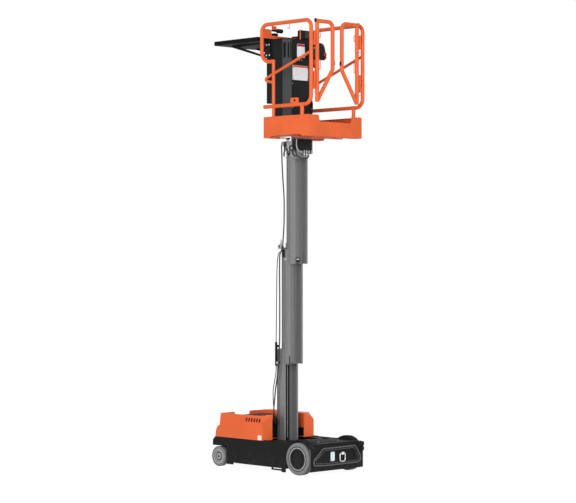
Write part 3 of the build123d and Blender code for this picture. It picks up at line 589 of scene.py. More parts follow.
def rearPanelDetails():
    # The bead is a half-buried tube on a closed path: at each corner p, with points a and b set back from it along
    # its two sides, the path is a(1-t)^2 + 2pt(1-t) + bt^2. Plates are bevelled slabs.
    look = panelLook
    x = look["faceX"]
    corners = np.array([(x - 2.0, y, z) for y, z in look["bead"]], float)
    backward, forward = unit(np.roll(corners, 1, 0) - corners), unit(np.roll(corners, -1, 0) - corners)
    t = np.linspace(0, 1, 6)[None, :, None]
    bend = ((corners + backward * look["cornerReach"])[:, None] * (1 - t) ** 2 + 2 * corners[:, None] * t * (1 - t)
            + (corners + forward * look["cornerReach"])[:, None] * t**2)
    # Painted highlight: the beads' lightened black paints the light lines along them, and the corner beads paint the
    # light along the panel's corners
    addPiece("panelBead", tube(bend.reshape(-1, 3), look["beadRadius"], 12, True, (1, 0, 0)), "black_gloss", "base")
    small = look["inner"]
    inner = [(x - 5.5, y * small["across"], (z - small["middleZ"]) * small["up"] + small["middleZ"])
             for y, z in look["bead"]]
    addPiece("panelInnerBead", tube(inner, small["radius"], 8, True, (1, 0, 0)), "black_gloss", "base")
    corner = tube(((x + 1, 367, 58), (x + 1, 367, 284)), 5, 10)
    addPiece("panelCornerHighlightBeads", corner.paired(), "black_gloss", "base")

    def onPanel(size, round_, middle, out, thick, bevel):
        # A rounded plate that stands out from the panel
        return slab(roundedOutline(*size, round_), (x - out, *middle), (0, -1, 0), (0, 0, 1), thick, bevel)

    plate, socket = look["plate"], look["socket"]
    addPiece("blankPlate", onPanel(plate["size"], 6, plate["middle"], 5.5, 2.4, 0.8), "pale_label", "base")
    dy, dz = plate["screws"]
    screws = [(x - 7.8, plate["middle"][0] + a, plate["middle"][1] + b) for a in (-dy, dy) for b in (-dz, dz)]
    addPiece("plateScrews", boltsAt(6, "x", screws, -1), "steel", "base")
    inside = [length - socket["rim"] for length in socket["size"]]
    addPiece("panelSocket", onPanel(socket["size"], 8, socket["middle"], 4.5, 6, 1.5)
             + onPanel(inside, 5, socket["middle"], 8.5, 5, 1.2), "black_plastic", "base")
    for name, block in look["blocks"].items():
        addPiece(name, boxes(block), "black_plastic", "base")
    addPiece("rearReflector", turned((x, *look["reflector"]["middle"]), look["reflector"]["profile"], "x", 24),
             "dull_red", "base")
    foot = look["footBolts"]
    places = [(x - 1.5, s * y, foot["z"]) for s in (1, -1) for y in foot["y"]]
    addPiece("panelBolts", boltsAt(foot["size"], "x", places, -1), "rim", "base")
    print("rear panel detailed")


deckLook = {
    "top": 305.0,
    "hump": {"radius": 185.0, "centreZ": 158.5, "ribs": (298, 318, 338), "rib": 2.6},
    "hatch": {"middle": (70, 0), "size": (260, 300), "screws": (116, 136)},
    "tread": {"x": range(-30, 171, 34), "y": range(-119, 120, 34), "size": (28, 7)},
    "cleats": (((430, 346, 296), (500, 358, 309), 3), ((200, 190, 304), (255, 270, 316), 5)),
    "flange": ((440, 351, 62), (930, 361, 80), 4),
    "boss": {"x": 1006, "z": 213, "profile": ((359, 22), (363, 22), (364, 20), (364, 13), (361.5, 12), (361.5, 4))},
    "crease": ((-60, 360.4, 150), (300, 360.4, 138), (930, 360.4, 118)),
}


def deckDetails():
    # A hatch plate with screws and a tread of crossed lugs, and ribs bent over each hump as arcs of a circle
    look, z = deckLook, deckLook["top"]
    hatch, tread, hump, boss = look["hatch"], look["tread"], look["hump"], look["boss"]
    addPiece("deckHatch", slab(roundedOutline(*hatch["size"], 14), (*hatch["middle"], z - 0.5), (1, 0, 0), (0, 1, 0),
                               4.5, 1.2), "black_paint", "base")
    c = math.sqrt(0.5)
    lugs = [slab(roundedOutline(*tread["size"], 3), (x, y, z + 3.6), (c, s, 0), (-s, c, 0), 1.6, 0.6)
            for i, x in enumerate(tread["x"]) for j, y in enumerate(tread["y"]) for s in (c * (-1) ** (i + j),)]
    addPiece("hatchTread", together(lugs), "black_paint", "base")
    dx, dy = hatch["screws"]
    screws = [(hatch["middle"][0] + a, hatch["middle"][1] + b, z + 4) for a in (-dx, dx) for b in (-dy, dy)]
    addPiece("hatchScrews", boltsAt(11, "z", screws), "steel", "base")
    reach = math.acos((z - 3 - hump["centreZ"]) / hump["radius"])
    turn = np.linspace(-reach, reach, 25)
    r = hump["radius"] + 0.5
    arc = np.stack((r * np.sin(turn), np.zeros(25), hump["centreZ"] + r * np.cos(turn)), -1)
    ribs = together([tube(arc + (0, y, 0), hump["rib"], 8) for y in hump["ribs"]])
    addPiece("humpRibs", ribs.paired(), "black_paint", "base")
    addPiece("deckCleats", boxes(*look["cleats"]).paired(), "black_paint", "base")
    addPiece("sideFlanges", boxes(look["flange"]).paired(), "black_paint", "base")
    bosses = turned((boss["x"], 0, boss["z"]), boss["profile"], "y", 32).paired()
    addPiece("sideBosses", bosses, "black_plastic", "base")
    addPiece("sideCreases", tube(look["crease"], 2.5, 8).paired(), "rim", "base")
    print("deck detailed")


hoodLook = {
    "sideY": 350.0, "lowerY": 360.0,
    "louvres": {"first": 560.0, "pitch": 38.0, "count": 6, "z": 496.0, "length": 40.0, "width": 17.0, "lean": 0.42},
    "sticker": {"middle": (551, 327), "size": (54, 46)},
    "mat": {"low": (612, -240), "high": (1110, 331), "z": 503.5, "ribs": range(640, 1100, 40), "ribInset": 26},
    "liner": {"front": ((436, 190), (602.2, 0, 404)), "sides": ((88, 86), (558, 220.4, 353))},
    "stopButton": ((518, 195, 487), ((1, 13), (-4, 13), (-6, 11), (-6.5, 3)), "x", 24),
    "gland": ((563, 194, 504), ((0, 12), (8, 12), (9, 9), (22, 8), (24, 5)), "z", 20),
}


def hoodDetails():
    # Louvres: rounded slabs leaning along the hood's sides, each with a thin tube round its outline. The mat is a
    # slab with straight ribs, the bay liners are slabs, and the button and gland are turned profiles.
    look = hoodLook["louvres"]
    lean = unit(np.array((-look["lean"], 0, 1.0)))
    forms, rims = [], []
    for s in (1, -1):
        across = np.cross(lean, (0, s, 0))
        outer = roundedOutline(look["width"] + 5, look["length"] + 5, 7)
        for k in range(look["count"]):
            middle = np.array((look["first"] + k * look["pitch"], s * (hoodLook["sideY"] - 0.6), look["z"]))
            forms.append(slab(roundedOutline(look["width"], look["length"], 5), middle, across, lean, 1.8, 0.4))
            rims.append(tube(outer[:, :1] * across + outer[:, 1:] * lean + middle + (0, s, 0), 1.5, 6, True, (0, s, 0)))
    # Painted shade: the louvres are near black slabs on the hood's sides that stand in for the shade in their openings
    addPiece("hoodLouvres", together(forms), "shade_black", "base")
    addPiece("louvreRims", together(rims), "orange_cover", "base")
    mat = hoodLook["mat"]
    (x0, y0), (x1, y1) = mat["low"], mat["high"]
    # Painted shade: the mat's dark reddish brown stands in for the shade on the floor of the hood's top recess
    addPiece("hoodMatShade", slab(roundedOutline(x1 - x0, y1 - y0, 20, 4), ((x0 + x1) / 2, (y0 + y1) / 2, mat["z"]),
                             (1, 0, 0), (0, 1, 0), 4, 1.2), "hood_mat_shade", "base")
    inset, top = mat["ribInset"], mat["z"] + 3.9
    ribs = [tube(((x, y0 + inset, top), (x, y1 - inset, top)), 2.2, 6, across=(0, 0, 1)) for x in mat["ribs"]]
    addPiece("hoodMatRibs", together(ribs), "hood_mat_shade", "base")
    sticker = hoodLook["sticker"]
    x, z = sticker["middle"]
    addPiece("hoodBlankLabel", slab(roundedOutline(*sticker["size"], 9), (x, hoodLook["lowerY"] - 0.2, z), (-1, 0, 0),
                                    (0, 0, 1), 0.9, 0.3), "pale_label", "base")
    addPiece("stopButtonBody", turned(*hoodLook["stopButton"]), "black_plastic", "base")
    addPiece("cableGland", turned(*hoodLook["gland"]), "black_plastic", "base")
    size, middle = hoodLook["liner"]["front"]
    bay = slab(roundedOutline(*size, 6), middle, (0, -1, 0), (0, 0, 1), 1.6, 0.4)
    size, middle = hoodLook["liner"]["sides"]
    wall = slab(roundedOutline(*size, 6), middle, (1, 0, 0), (0, 0, 1), 1.6, 0.4)
    addPiece("hoodBayLiner", bay + wall.paired(), "black_plastic", "base")
    print("hood detailed")


cableLook = {
    "laneY": 118.0,
    "main": {  # routes are (x, z) places in the lane
        "radius": 6.5,
        "upper": ((448, 3120), (446, 3190), (448, 3240), (467, 3263), (486, 3242), (485, 3190), (482, 3110),
                  (478, 3035), (468, 2900), (456, 2780), (450, 2680), (449, 2560), (452, 2440), (461, 2330),
                  (468, 2262), (472, 2220), (484, 2188), (502, 2164), (511, 2136)),
        "middle": ((511, 2136), (514, 2100), (515, 1950), (513, 1700), (513, 1450), (514, 1300), (518, 1230),
                   (525, 1150), (528, 1080), (532, 1020)),
        "lower": ((532, 1020), (541, 965), (556, 880), (572, 800), (586, 700), (597, 600), (598, 540), (594, 500))},
    "second": {
        "radius": 4.5,
        "middle": ((512, 2166), (523, 2158), (533, 2140), (545, 2080), (552, 1960), (557, 1700), (560, 1450),
                   (562, 1320), (563, 1262)),
        "lower": ((563, 1034), (566, 960), (585, 880), (604, 800), (607, 740), (602, 640), (588, 560), (580, 500))},
    "folds": {  # piece: the slides' two bodies, then where the bend between them starts and ends
        "mainCableUpper": ("stage_1", "stage_2", (476, 2205), (482, 3170)),
        "mainCableMiddle": ("base", "stage_1", (532, 1021), (511, 2134)),
        "secondCableMiddle": ("base", "stage_1", (563, 1263), (516, 2130))},
    "gland": ((-10, 11), (-4, 11), (-2, 9), (20, 8), (24, 6)),
    "entryBlock": ((566, 94, 440), (602, 142, 492), 8),
    "clamp": (((462, 98, 2116), (490, 107, 2194), 4), ((472, 98, 2206), (520, 108, 2226), 3)),
    "wheel": ((104, 5), (107, 24), (110, 26), (113, 22), (121, 22), (124, 26), (126, 24), (127, 5)),
    "wheelArm": ((502, 99, 2222), (516, 107, 2292), 3),
    "lowerWheel": {"x": 545, "z": 1061, "size": 0.55},
    "guideBar": (((554, 108, 1030), (574, 128, 1268), 5), ((534, 98, 1046), (560, 112, 1076), 4),
                 ((536, 98, 1216), (560, 112, 1240), 4)),
}
hoseLook = {
    "hoses": (((424, 104, 3290), (418, 104, 3236), (424, 104, 3198), (446, 104, 3176), (470, 104, 3158),
               (474, 103, 3120)),
              ((286, 106, 3288), (285, 106, 3214), (276, 92, 3176), (270, 62, 3162), (270, 36, 3160)),
              ((402, 104, 3286), (396, 106, 3226), (400, 107, 3168), (418, 106, 3124), (440, 104, 3108))),
    "curls": ((360, 3200, 24), (402, 3150, 20)),
    "knots": (((344, 104, 3286), (340, 108, 3230), (334, 110, 3190), (346, 108, 3160), (330, 104, 3130),
               (296, 100, 3120)),
              ((440, 106, 3270), (432, 110, 3220), (420, 111, 3180), (396, 110, 3140))),
    "loop": ((330, 88, 3200), (306, 84, 3136), (292, 50, 3104), (290, 0, 3096), (292, -50, 3104), (306, -84, 3132),
             (330, -90, 3190)),
    "farBracket": ((284, -119, 3146), (326, -100, 3290), 4),
    "cover": ((274, -99, 3182), (327, 99, 3291), 5),
    "anchor": {"x": 302, "y": (-18, -52, -84), "coil": 9.5, "wire": 1.6, "turns": 6, "z": 3150, "height": 28,
               "stud": ((3188, 10), (3180, 10), (3178, 7.5), (3150, 7.5), (3148, 11), (3136, 11), (3134, 5),
                        (3118, 5))},
}


def lane(points, y):
    # Places (x, z) put in the plane at y
    return np.array([(x, y, z) for x, z in points], float)


def cableDetails():
    # Tubes along soft curves through the cables' guides and sheave. The lower pieces ride on the base; the pieces
    # listed in folds ride on no body and are baked where they stand.
    look, y = cableLook, cableLook["laneY"]
    for cable, shift, steps, sides in (("main", 0, 7, 14), ("second", 1, 6, 12)):
        for part in ("upper", "middle", "lower"):
            if part not in look[cable]:
                continue
            name = f"{cable}Cable{part.title()}"
            route = smoothPath(lane(look[cable][part], y + shift), steps)
            fold = look["folds"].get(name)
            piece = addPiece(name, tube(route, look[cable]["radius"], sides), "cable", None if fold else "base")
            if fold:
                first, second, start, end = fold
                start, end = fromAxle(lane((start, end), y))
                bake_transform(piece)
    glands = [turned((look[cable]["lower"][-1][0], y, look[cable]["lower"][-1][1]), look["gland"], "z", 20)
              for cable in ("main", "second")]
    addPiece("cableEntry", together(glands) + boxes(look["entryBlock"]), "black_plastic", "base")
    addPiece("cableClampUpper", boxes(*look["clamp"]), "black_plastic", "stage_1")
    guide = turned((509, 0, 2222), look["wheel"], "y", 40) + boxes(look["wheelArm"])
    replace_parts(addPiece("guideWheelUpper", guide, "grey_hose", "stage_1"), "cable_guide_1")
    addPiece("guideWheelBolt", boltsAt(14, "y", [(509, 126, 2222)]), "black_plastic", "stage_1")
    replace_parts(addPiece("guideBarLower", boxes(*look["guideBar"]), "black_plastic", "base"), "cable_guide_0")
    small = look["lowerWheel"]
    rim = [(out, r * small["size"]) for out, r in look["wheel"]]
    addPiece("guideWheelLower", turned((small["x"], 0, small["z"]), rim, "y", 32), "grey_hose", "base")
    print("cables laid")


def hoseDetails():
    # Hoses and loops are tubes along soft curves, and curls tubes round circles. A chain anchor is a turned stud in a
    # helix: x = r cos a, y = r sin a, with z rising in step with a.
    look = hoseLook
    addPiece("platformHoses", together([tube(smoothPath(p, 8), 6, 12) for p in look["hoses"]]), "grey_hose", "platform")
    turn = np.linspace(0, 2 * np.pi, 24, endpoint=False)
    curls = [tube(np.stack((x + r * np.cos(turn), np.full(24, 107.0), z + r * np.sin(turn)), -1), 6.5, 10, True)
             for x, z, r in look["curls"]]
    knots = [tube(smoothPath(p, 8), 6, 10) for p in look["knots"]]
    addPiece("platformCurls", together(curls + knots), "cable", "platform")
    addPiece("farBracket", boxes(look["farBracket"]), "aluminium", "platform")
    addPiece("platformCableLoop", tube(smoothPath(look["loop"], 8), 6, 12), "cable", "platform")
    anchor = look["anchor"]
    turn = np.linspace(0, 2 * np.pi * anchor["turns"], 90)
    rise = anchor["z"] + turn / turn[-1] * anchor["height"]
    springs = []
    for y in anchor["y"]:
        coil = np.stack((anchor["x"] + anchor["coil"] * np.cos(turn), y + anchor["coil"] * np.sin(turn), rise), -1)
        springs.append(turned((anchor["x"], y, 0), anchor["stud"], "z", 20))
        springs.append(tube(coil, anchor["wire"], 6, across=(0, 0, 1)))
    addPiece("chainAnchors", together(springs), "steel", "platform")
    addPiece("bracketCover", boxes(look["cover"]), "black_plastic", "platform")
    print("hoses laid")


chainLook = {
    "pitch": 15.9, "width": 10.0, "thick": 2.2, "rows": (-7.5, -2.5, 2.5, 7.5), "pin": ((-9.6, 2.2), (9.6, 2.2)),
    "runs": {  # piece: its two bodies, the straight side's x and z, then the sheave's centre x, z and radius
        "liftChainFirst": ("base", "stage_1", 536, (1206, 2230), (509, 2242, 27)),
        "liftChainSecond": ("stage_1", "stage_2", 468, (2206, 3230), (441, 3242, 27))},
}


def chainRun(path):
    # Plates at even lengths along the path, alternate rows half a link apart, with a pin at each joint. A plate is a
    # stretched octagon, turned to the direction between the points 2 mm before and after its place.
    look = chainLook
    length = np.concatenate(((0,), np.cumsum(np.linalg.norm(np.diff(path, axis=0), axis=1))))
    count = int(length[-1] / look["pitch"])
    at = (np.arange(count) + 0.5) * length[-1] / count

    def pointsAt(along):
        # The path's points at these lengths from its start
        return np.stack([np.interp(along, length, path[:, k]) for k in range(3)], -1)

    place = pointsAt(at)
    ahead = unit(pointsAt(np.minimum(at + 2, length[-1])) - pointsAt(np.maximum(at - 2, 0)))
    turn = np.linspace(0, 2 * np.pi, 8, endpoint=False) + np.pi / 8
    outline = np.stack((np.cos(turn) * look["width"] / 2, np.sin(turn) * look["pitch"] * 0.62), -1)
    links = []
    for row, y in enumerate(look["rows"]):
        chosen = slice(row % 2, None, 2)
        links += [slab(outline, where + (0, y - look["thick"] / 2, 0), np.cross((0, 1, 0), way), way, look["thick"])
                  for where, way in zip(place[chosen], ahead[chosen])]
    return together(links) + copiesAt(turned((0, 0, 0), look["pin"], "y", 6), place)


def chainDetails():
    # Each lift chain runs straight up, then half round its sheave
    turn = np.linspace(0, np.pi, 14)
    for name, (first, second, x, (low, high), (cx, cz, r)) in chainLook["runs"].items():
        rise = lane([(x, z) for z in np.linspace(low, high, 20)], 0)
        wrap = np.stack((cx + r * np.cos(turn), np.zeros(14), cz + r * np.sin(turn)), -1)
        chain = addPiece(name, chainRun(np.vstack((rise, wrap))), "steel", None)
        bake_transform(chain)
    print("chains laid")


mastLook = {
    "bodies": ("base", "stage_1", "stage_2"), "backs": (527.0, 459.0, 391.0),
    "bottoms": (70.0, 1050.0, 2050.0), "tops": (1200.0, 2200.0, 3200.0),
    "padBolts": {"size": 9, "back": 34, "side": 97.4, "heights": (26, 92)},
    "strip": {"width": 92, "short": 12},
    "pipe": ((522, 3, 0), ((310, 5.5), (1196, 5.5)), "z", 16),
    "endPlates": {"lowerEndPlate2": ("stage_2", (((326, 22, 2064), (333, 72, 2114), 2.5),)),
                  "lowerEndPlate1": ("stage_1", (((396.5, 86, 1052), (401, 97, 1136), 2),
                                                 ((397, 26, 1052), (402, 74, 1070), 2)))},
    "endBolts": {"endPlateBolts2": ("stage_2", "bright_zinc", ((326, 40, 2096), (326, 60, 2096))),
                 "endPlateBolts1": ("stage_1", "steel", ((397, 36, 1061), (397, 62, 1061)))},
    "sheaveNuts": (("stage_1", (509, 106, 2242)), ("stage_2", (441, 106, 3242))),
    "sheaveCap": ((468, 0, 3242), ((122, 12), (126, 12), (127, 10), (127.5, 3)), "y", 24),
    "midBracket": ((430, 97, 2080), (464, 104, 2112), 3),
    "carriageGuide": ((382, 98, 3286), (430, 110, 3304), 3),
}


def mastDetails():
    # Bolts, dust strips and dark strips of painted shade are set from each section's back, bottom and top. Dust strips
    # are bevelled slabs.
    look = mastLook
    for n, body in enumerate(look["bodies"]):
        back, low, high = look["backs"][n], look["bottoms"][n], look["tops"][n]
        pad = look["padBolts"]
        places = [(back - pad["back"], pad["side"], low + z) for z in pad["heights"]]
        addPiece(f"padBolts{n}", boltsAt(pad["size"], "y", places).paired(), "steel", body)
        # Painted shade: thin near black strips where the web meets the arms and along the body's edges, standing in for
        # the shade in the channel's corners
        seamsAndShadeStrips = boxes(((back - 3.5, 88, low + 4), (back + 1, 94, high - 4), 1),
                      ((back + 54, 80.4, low + 4), (back + 58, 82, high - 4), 0.6))
        addPiece(f"sectionCornerShade{n}", seamsAndShadeStrips.paired(), "shade_black", body)
        if n:
            outline = roundedOutline(look["strip"]["width"], high - low - look["strip"]["short"], 2)
            strip = slab(outline, (back - 0.4, 0, (high + low) / 2), (0, -1, 0), (0, 0, 1), 1.8, 0.4)
            addPiece(f"dustStrip{n}", strip, "aluminium", body)
    addPiece("channelPipe", turned(*look["pipe"]), "aluminium", "base")
    for name, (body, plates) in look["endPlates"].items():
        addPiece(name, boxes(*plates), "rim", body)
    for name, (body, finish, places) in look["endBolts"].items():
        addPiece(name, boltsAt(9, "x", places, -1), finish, body)
    for n, (body, place) in enumerate(look["sheaveNuts"]):
        addPiece(f"sheaveNuts{n}", boltsAt(16, "y", [place]).paired(), "steel", body)
    addPiece("cableSheaveCap", turned(*look["sheaveCap"]), "steel", "stage_2")
    addPiece("midBrackets", boxes(look["midBracket"]), "steel", "stage_1")
    addPiece("carriageGuide", boxes(look["carriageGuide"]), "black_plastic", "platform")
    print("mast detailed")


guardLook = {
    "faceX": 315.0,
    "chamfer": {"from": (315, 144), "to": (381, 210), "middleZ": 3805, "height": 940},
    "slots": {"places": ((0.76, 31), (0.35, 20), (0.10, 13)), "z": (4092, 4246), "rim": 2.2},
    "ledge": {"y": (115, -89), "z": (4024, 4098), "studs": (88, 60, 32), "studZ": 4072,
              "stud": ((1, 5), (-1.5, 5), (-2.5, 3.5), (-3, 1))},
    "plates": {  # piece: y, z, corner radius, thickness, stand-off, bevel, finish
        "guardUpperPlate": ((71, -36), (4101, 4236), 6, 3.0, -0.5, 0.8, "pale_label"),
        "guardRedStripe": ((69, -34), (4210, 4233), 2, 0.9, 2.4, 0.2, "signal_red"),
        "guardLowerPlate": ((133, -82), (3875, 4022), 5, 2.6, -0.5, 0.8, "pale_label"),
        "guardOrangeLine": ((131, -80), (4002, 4019), 2, 0.9, 2.0, 0.2, "orange_paint")},
    "screws": {"y": (123, -72), "z": (3885, 3996)},
    "arch": {"radius": 8, "path": ((2, -42, 3552), (-6, -46, 3640), (-8, -66, 3686), (-8, -96, 3694), (-8, -124, 3680),
                                   (-6, -138, 3640), (2, -140, 3552))},
    "seamsAndShadeStrips": {"radius": 1.8, "y": 126, "z": (3330, 3866)},
    "rivets": {"y": 134, "z": (3360, 3600, 3840, 4060), "profile": ((0, 6), (-2, 6), (-3.4, 4), (-3.8, 1))},
}


def guardDetails():
    # Plates and slots are bevelled slabs on the guard's rear face and its left chamfer, whose points are
    # from + t (to - from). Slot rims, the arch and the seams are tubes.
    look, x, up = guardLook, guardLook["faceX"], (0, 0, 1)
    chamfer, slots, ledge = look["chamfer"], look["slots"], look["ledge"]
    start, end = np.array((*chamfer["from"], 0.0)), np.array((*chamfer["to"], 0.0))
    across = -unit(end - start)
    out = np.cross(across, up)
    low, high = slots["z"]
    inset, rims = [], []
    for t, width in slots["places"]:
        middle = start + (end - start) * t + (0, 0, (low + high) / 2)
        outline = roundedOutline(width * 0.8, high - low, width * 0.3)
        inset.append(slab(outline, middle, across, up, 1.2, 0.3))
        ring = outline[:, :1] * across + outline[:, 1:] * np.array(up, float) + middle + out
        rims.append(tube(ring, slots["rim"], 6, True, out))
    # Painted shade: the slots are near black slabs that stand in for the shade in their openings
    addPiece("guardSlots", together(inset), "shade_black", "platform")
    # Painted light: the slot rims share the chamfer skin's paler grey
    addPiece("guardSlotRims", together(rims), "painted_light_grey", "platform")
    # Painted light: the chamfer's skin is a paler copy of the guard's black, so that the chamfer shows lighter than the
    # faces beside it
    middle = (start + end) / 2 + (0, 0, chamfer["middleZ"]) - out * 0.4
    outline = roundedOutline(np.linalg.norm(end - start) - 3, chamfer["height"], 3)
    addPiece("guardChamferSkin", slab(outline, middle, across, up, 1.3, 0.4).paired(), "painted_light_grey", "platform")
    block = ((x - 26, min(ledge["y"]), ledge["z"][0]), (x + 2, max(ledge["y"]), ledge["z"][1]), 8)
    addPiece("guardLedge", boxes(block), "black_plastic", "platform")
    studs = [(x - 26, y, ledge["studZ"]) for y in ledge["studs"]]
    addPiece("ledgeStuds", copiesAt(turned((0, 0, 0), ledge["stud"], "x", 16), studs), "steel", "platform")
    for name, (ys, zs, round_, thick, stand, bevel, finish) in look["plates"].items():
        outline = roundedOutline(abs(ys[0] - ys[1]), zs[1] - zs[0], round_)
        plate = slab(outline, (x - stand, sum(ys) / 2, sum(zs) / 2), (0, -1, 0), up, thick, bevel)
        addPiece(name, plate, finish, "platform")
    screws = [(x - 2.2, y, z) for y in look["screws"]["y"] for z in look["screws"]["z"]]
    addPiece("guardScrews", boltsAt(8, "x", screws, -1), "steel", "platform")
    arch = smoothPath(np.array(look["arch"]["path"]) + (x, 0, 0), 7)
    addPiece("guardArch", tube(arch, look["arch"]["radius"], 12, across=(1, 0, 0)), "black_plastic", "platform")
    seam = look["seamsAndShadeStrips"]
    (low, high), y, r, x0 = seam["z"], seam["y"], seam["radius"], x - 0.2
    sides = tube(((x0, y, low), (x0, y, high)), r, 6).paired()
    top = tube(((x0, -y, high), (x0, y, high)), r, 6, across=(0, 0, 1))
    addPiece("guardSeams", sides + top, "black_plastic", "platform")
    rivets = look["rivets"]
    places = [(x, s * rivets["y"], z) for s in (1, -1) for z in rivets["z"]]
    addPiece("guardRivets", copiesAt(turned((0, 0, 0), rivets["profile"], "x", 16), places), "steel", "platform")
    print("guard detailed")


controlLook = {
    "panel": {"low": (296, -104, 4282), "high": (344, 44, 4374)},
    "knob": ((296, 0, 4330), ((2, 9), (-3, 9), (-4, 7), (-12, 6), (-13, 4)), "x", 24),
    "keys": {"y": (-78, -56, -34), "z": (4312, 4332, 4352)},
    "hand": {"low": (248, -298, 4090), "high": (318, -118, 4262), "radius": 34.5, "tuck": 60, "from": 0.35, "y": -200},
    "stop": ((250, -253, 4146), ((2, 11), (-3, 11), (-4, 20), (-10, 20), (-14, 16), (-15, 5)), "x", 32),
    "boot": ((248, -170, 4176), ((4, 24), (0, 24), (-4, 18), (-7, 10), (-10, 7)), "x", 28),
    "handKeys": (-236, -214),
    "lead": ((300, -200, 4096), (306, -206, 4050), (312, -180, 3990), (316, -150, 3950), (322, -146, 3900)),
    "tab": {"middle": (496, 214, 4392.5), "size": (66, 41)},
    "grip": {"centre": (500, 0, 4370), "ribs": range(106, 164, 8),
             "profile": ((94, 8), (96, 17), (100, 20), (166, 20), (176, 13), (236, 11)),
             "rib": ((-1.6, 19.6), (0, 21.4), (1.6, 19.6), (1.4, 18), (-1.4, 18))},
    "hook": ((124, 360, 4400), (124, 361, 4376), (124, 361, 4358), (132, 361, 4349), (144, 361, 4351),
             (150, 361, 4362)),
}


def controlDetails():
    # Shells and keys are rounded blocks, knobs and buttons turned profiles. The hand control's shell is tucked in:
    # y grows with the height above a fraction of the whole, on the side past the given y.
    look = controlLook
    (x0, y0, z0), (x1, y1, z1) = look["panel"]["low"], look["panel"]["high"]
    addPiece("panelShell", boxes(((x0, y0 + 10, z0), (x1, y1 - 8, z1), 12)), "black_plastic", "platform")
    addPiece("panelOrangeEdge", boxes(((x0 - 3, y1 - 7, z0 - 4), (x0 + 11, y1, z1 + 4), 3)), "orange_paint", "platform")
    keys = [((x0 - 3, y - 7, z - 5), (x0 + 2, y + 7, z + 5), 3) for y in look["keys"]["y"] for z in look["keys"]["z"]]
    addPiece("panelKeys", boxes(*keys), "grey_keys", "platform")
    addPiece("panelKnob", turned(*look["knob"]), "black_plastic", "platform")
    hand = look["hand"]
    low, high = hand["low"], hand["high"]
    shell = softBox(low, high, hand["radius"], 8)
    height = (shell.points[:, 2] - low[2]) / (high[2] - low[2])
    shell.points[:, 1] += np.clip(height - hand["from"], 0, 1) * (shell.points[:, 1] < hand["y"]) * hand["tuck"]
    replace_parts(addPiece("handControlShell", shell, "black_plastic", "platform"), "hand_control")
    addPiece("stopButton", turned(*look["stop"]), "signal_red", "platform")
    addPiece("leverBoot", turned(*look["boot"]), "black_plastic", "platform")
    keys = [((low[0] - 3, y - 6, 4226), (low[0] + 2, y + 6, 4236), 2.5) for y in look["handKeys"]]
    addPiece("handKeys", boxes(*keys), "grey_keys", "platform")
    addPiece("handControlLead", tube(smoothPath(look["lead"], 8), 5, 10), "cable", "platform")
    tab = slab(roundedOutline(*look["tab"]["size"], 8), look["tab"]["middle"], (0, -1, 0), (0, 0, 1), 4, 1)
    addPiece("railTab", tab, "orange_paint", "platform")
    grip = look["grip"]
    ribs = [ringTurned(grip["centre"], [(y + out, r) for out, r in grip["rib"]], "y", 28) for y in grip["ribs"]]
    addPiece("railGrip", turned(grip["centre"], grip["profile"], "y", 28) + together(ribs), "black_plastic", "platform")
    addPiece("railHook", tube(smoothPath(look["hook"], 7), 3.4, 10), "orange_paint", "platform")
    print("controls detailed")


gateLook = {
    "x": -173.0, "hingeY": 316.5,
    "plug": {"y": 299, "profile": ((4392, 9), (4398, 13), (4424, 13), (4427, 9))},
    "handles": ((4240, 4300), (3936, 4030)),
    "bow": (262, 246, 238, 237),
    "hinges": {"z": (3744, 4170), "half": 28, "cap": ((0, 9), (5, 9), (7, 7), (7.5, 2))},
    "blocks": {"y": (301, 333), "z": ((4209, 4307), (3800, 3915))},
    "stop": ((-183, 40, 3990), (-163, 50, 4030), 4),
}


def gateDetails():
    # Per gate: an end plug and hinge caps as turned profiles, bow handles as tubes on soft curves, rounded blocks.
    # Each is made for the left gate, and the right one's is its mirror image.
    look, x = gateLook, gateLook["x"]
    plug = turned((x, look["plug"]["y"], 0), look["plug"]["profile"], "z", 24)
    far, turnIn, near, middle = look["bow"]
    handles = []
    for low, high in look["handles"]:
        bow = [(x, far, high), (x, turnIn, high), (x, near, high - 8), (x, middle, (low + high) / 2),
               (x, near, low + 8), (x, turnIn, low), (x, far, low)]
        handles.append(tube(smoothPath(bow, 6), 4.2, 10, across=(1, 0, 0)))
    hinges, (y0, y1) = look["hinges"], look["blocks"]["y"]
    caps = [turned((x, look["hingeY"], z + e * hinges["half"]), [(e * out, r) for out, r in hinges["cap"]], "z", 20)
            for z in hinges["z"] for e in (1, -1)]
    blocks = boxes(*[((x - 15, y0, low), (x + 15, y1, high), 9) for low, high in look["blocks"]["z"]])
    for side in ("left", "right"):
        for name, form, finish, body in (
            ("gatePlug", plug, "black_plastic", f"gate_{side}"),
            ("gateHandles", together(handles), "orange_paint", f"gate_{side}"),
            ("hingeCaps", together(caps), "steel", "platform"),
            ("hingeBlocks", blocks, "orange_paint", "platform"),
            ("gateStop", boxes(look["stop"]), "black_plastic", f"gate_{side}"),
        ):
            addPiece(name + side.title(), form if side == "left" else form.mirrored(), finish, body)
    print("gates detailed")


trayLook = {
    "x": (619.0, 1263.0), "y": 320.0, "z": (4268.0, 4310.0),
    "ribs": {"count": 8, "y": (-250, -90, 90, 250)}, "rim": 3.2,
    "bolts": {"x": (700, 860, 1020), "y": 175},
    "clamp": (((540, 192, 4104), (640, 216, 4160), 10), ((556, 190, 4150), (612, 214, 4264), 9)),
    "clampBolts": ((566, 215, 4236), (598, 215, 4236), (560, 216, 4130), (604, 216, 4130)),
}


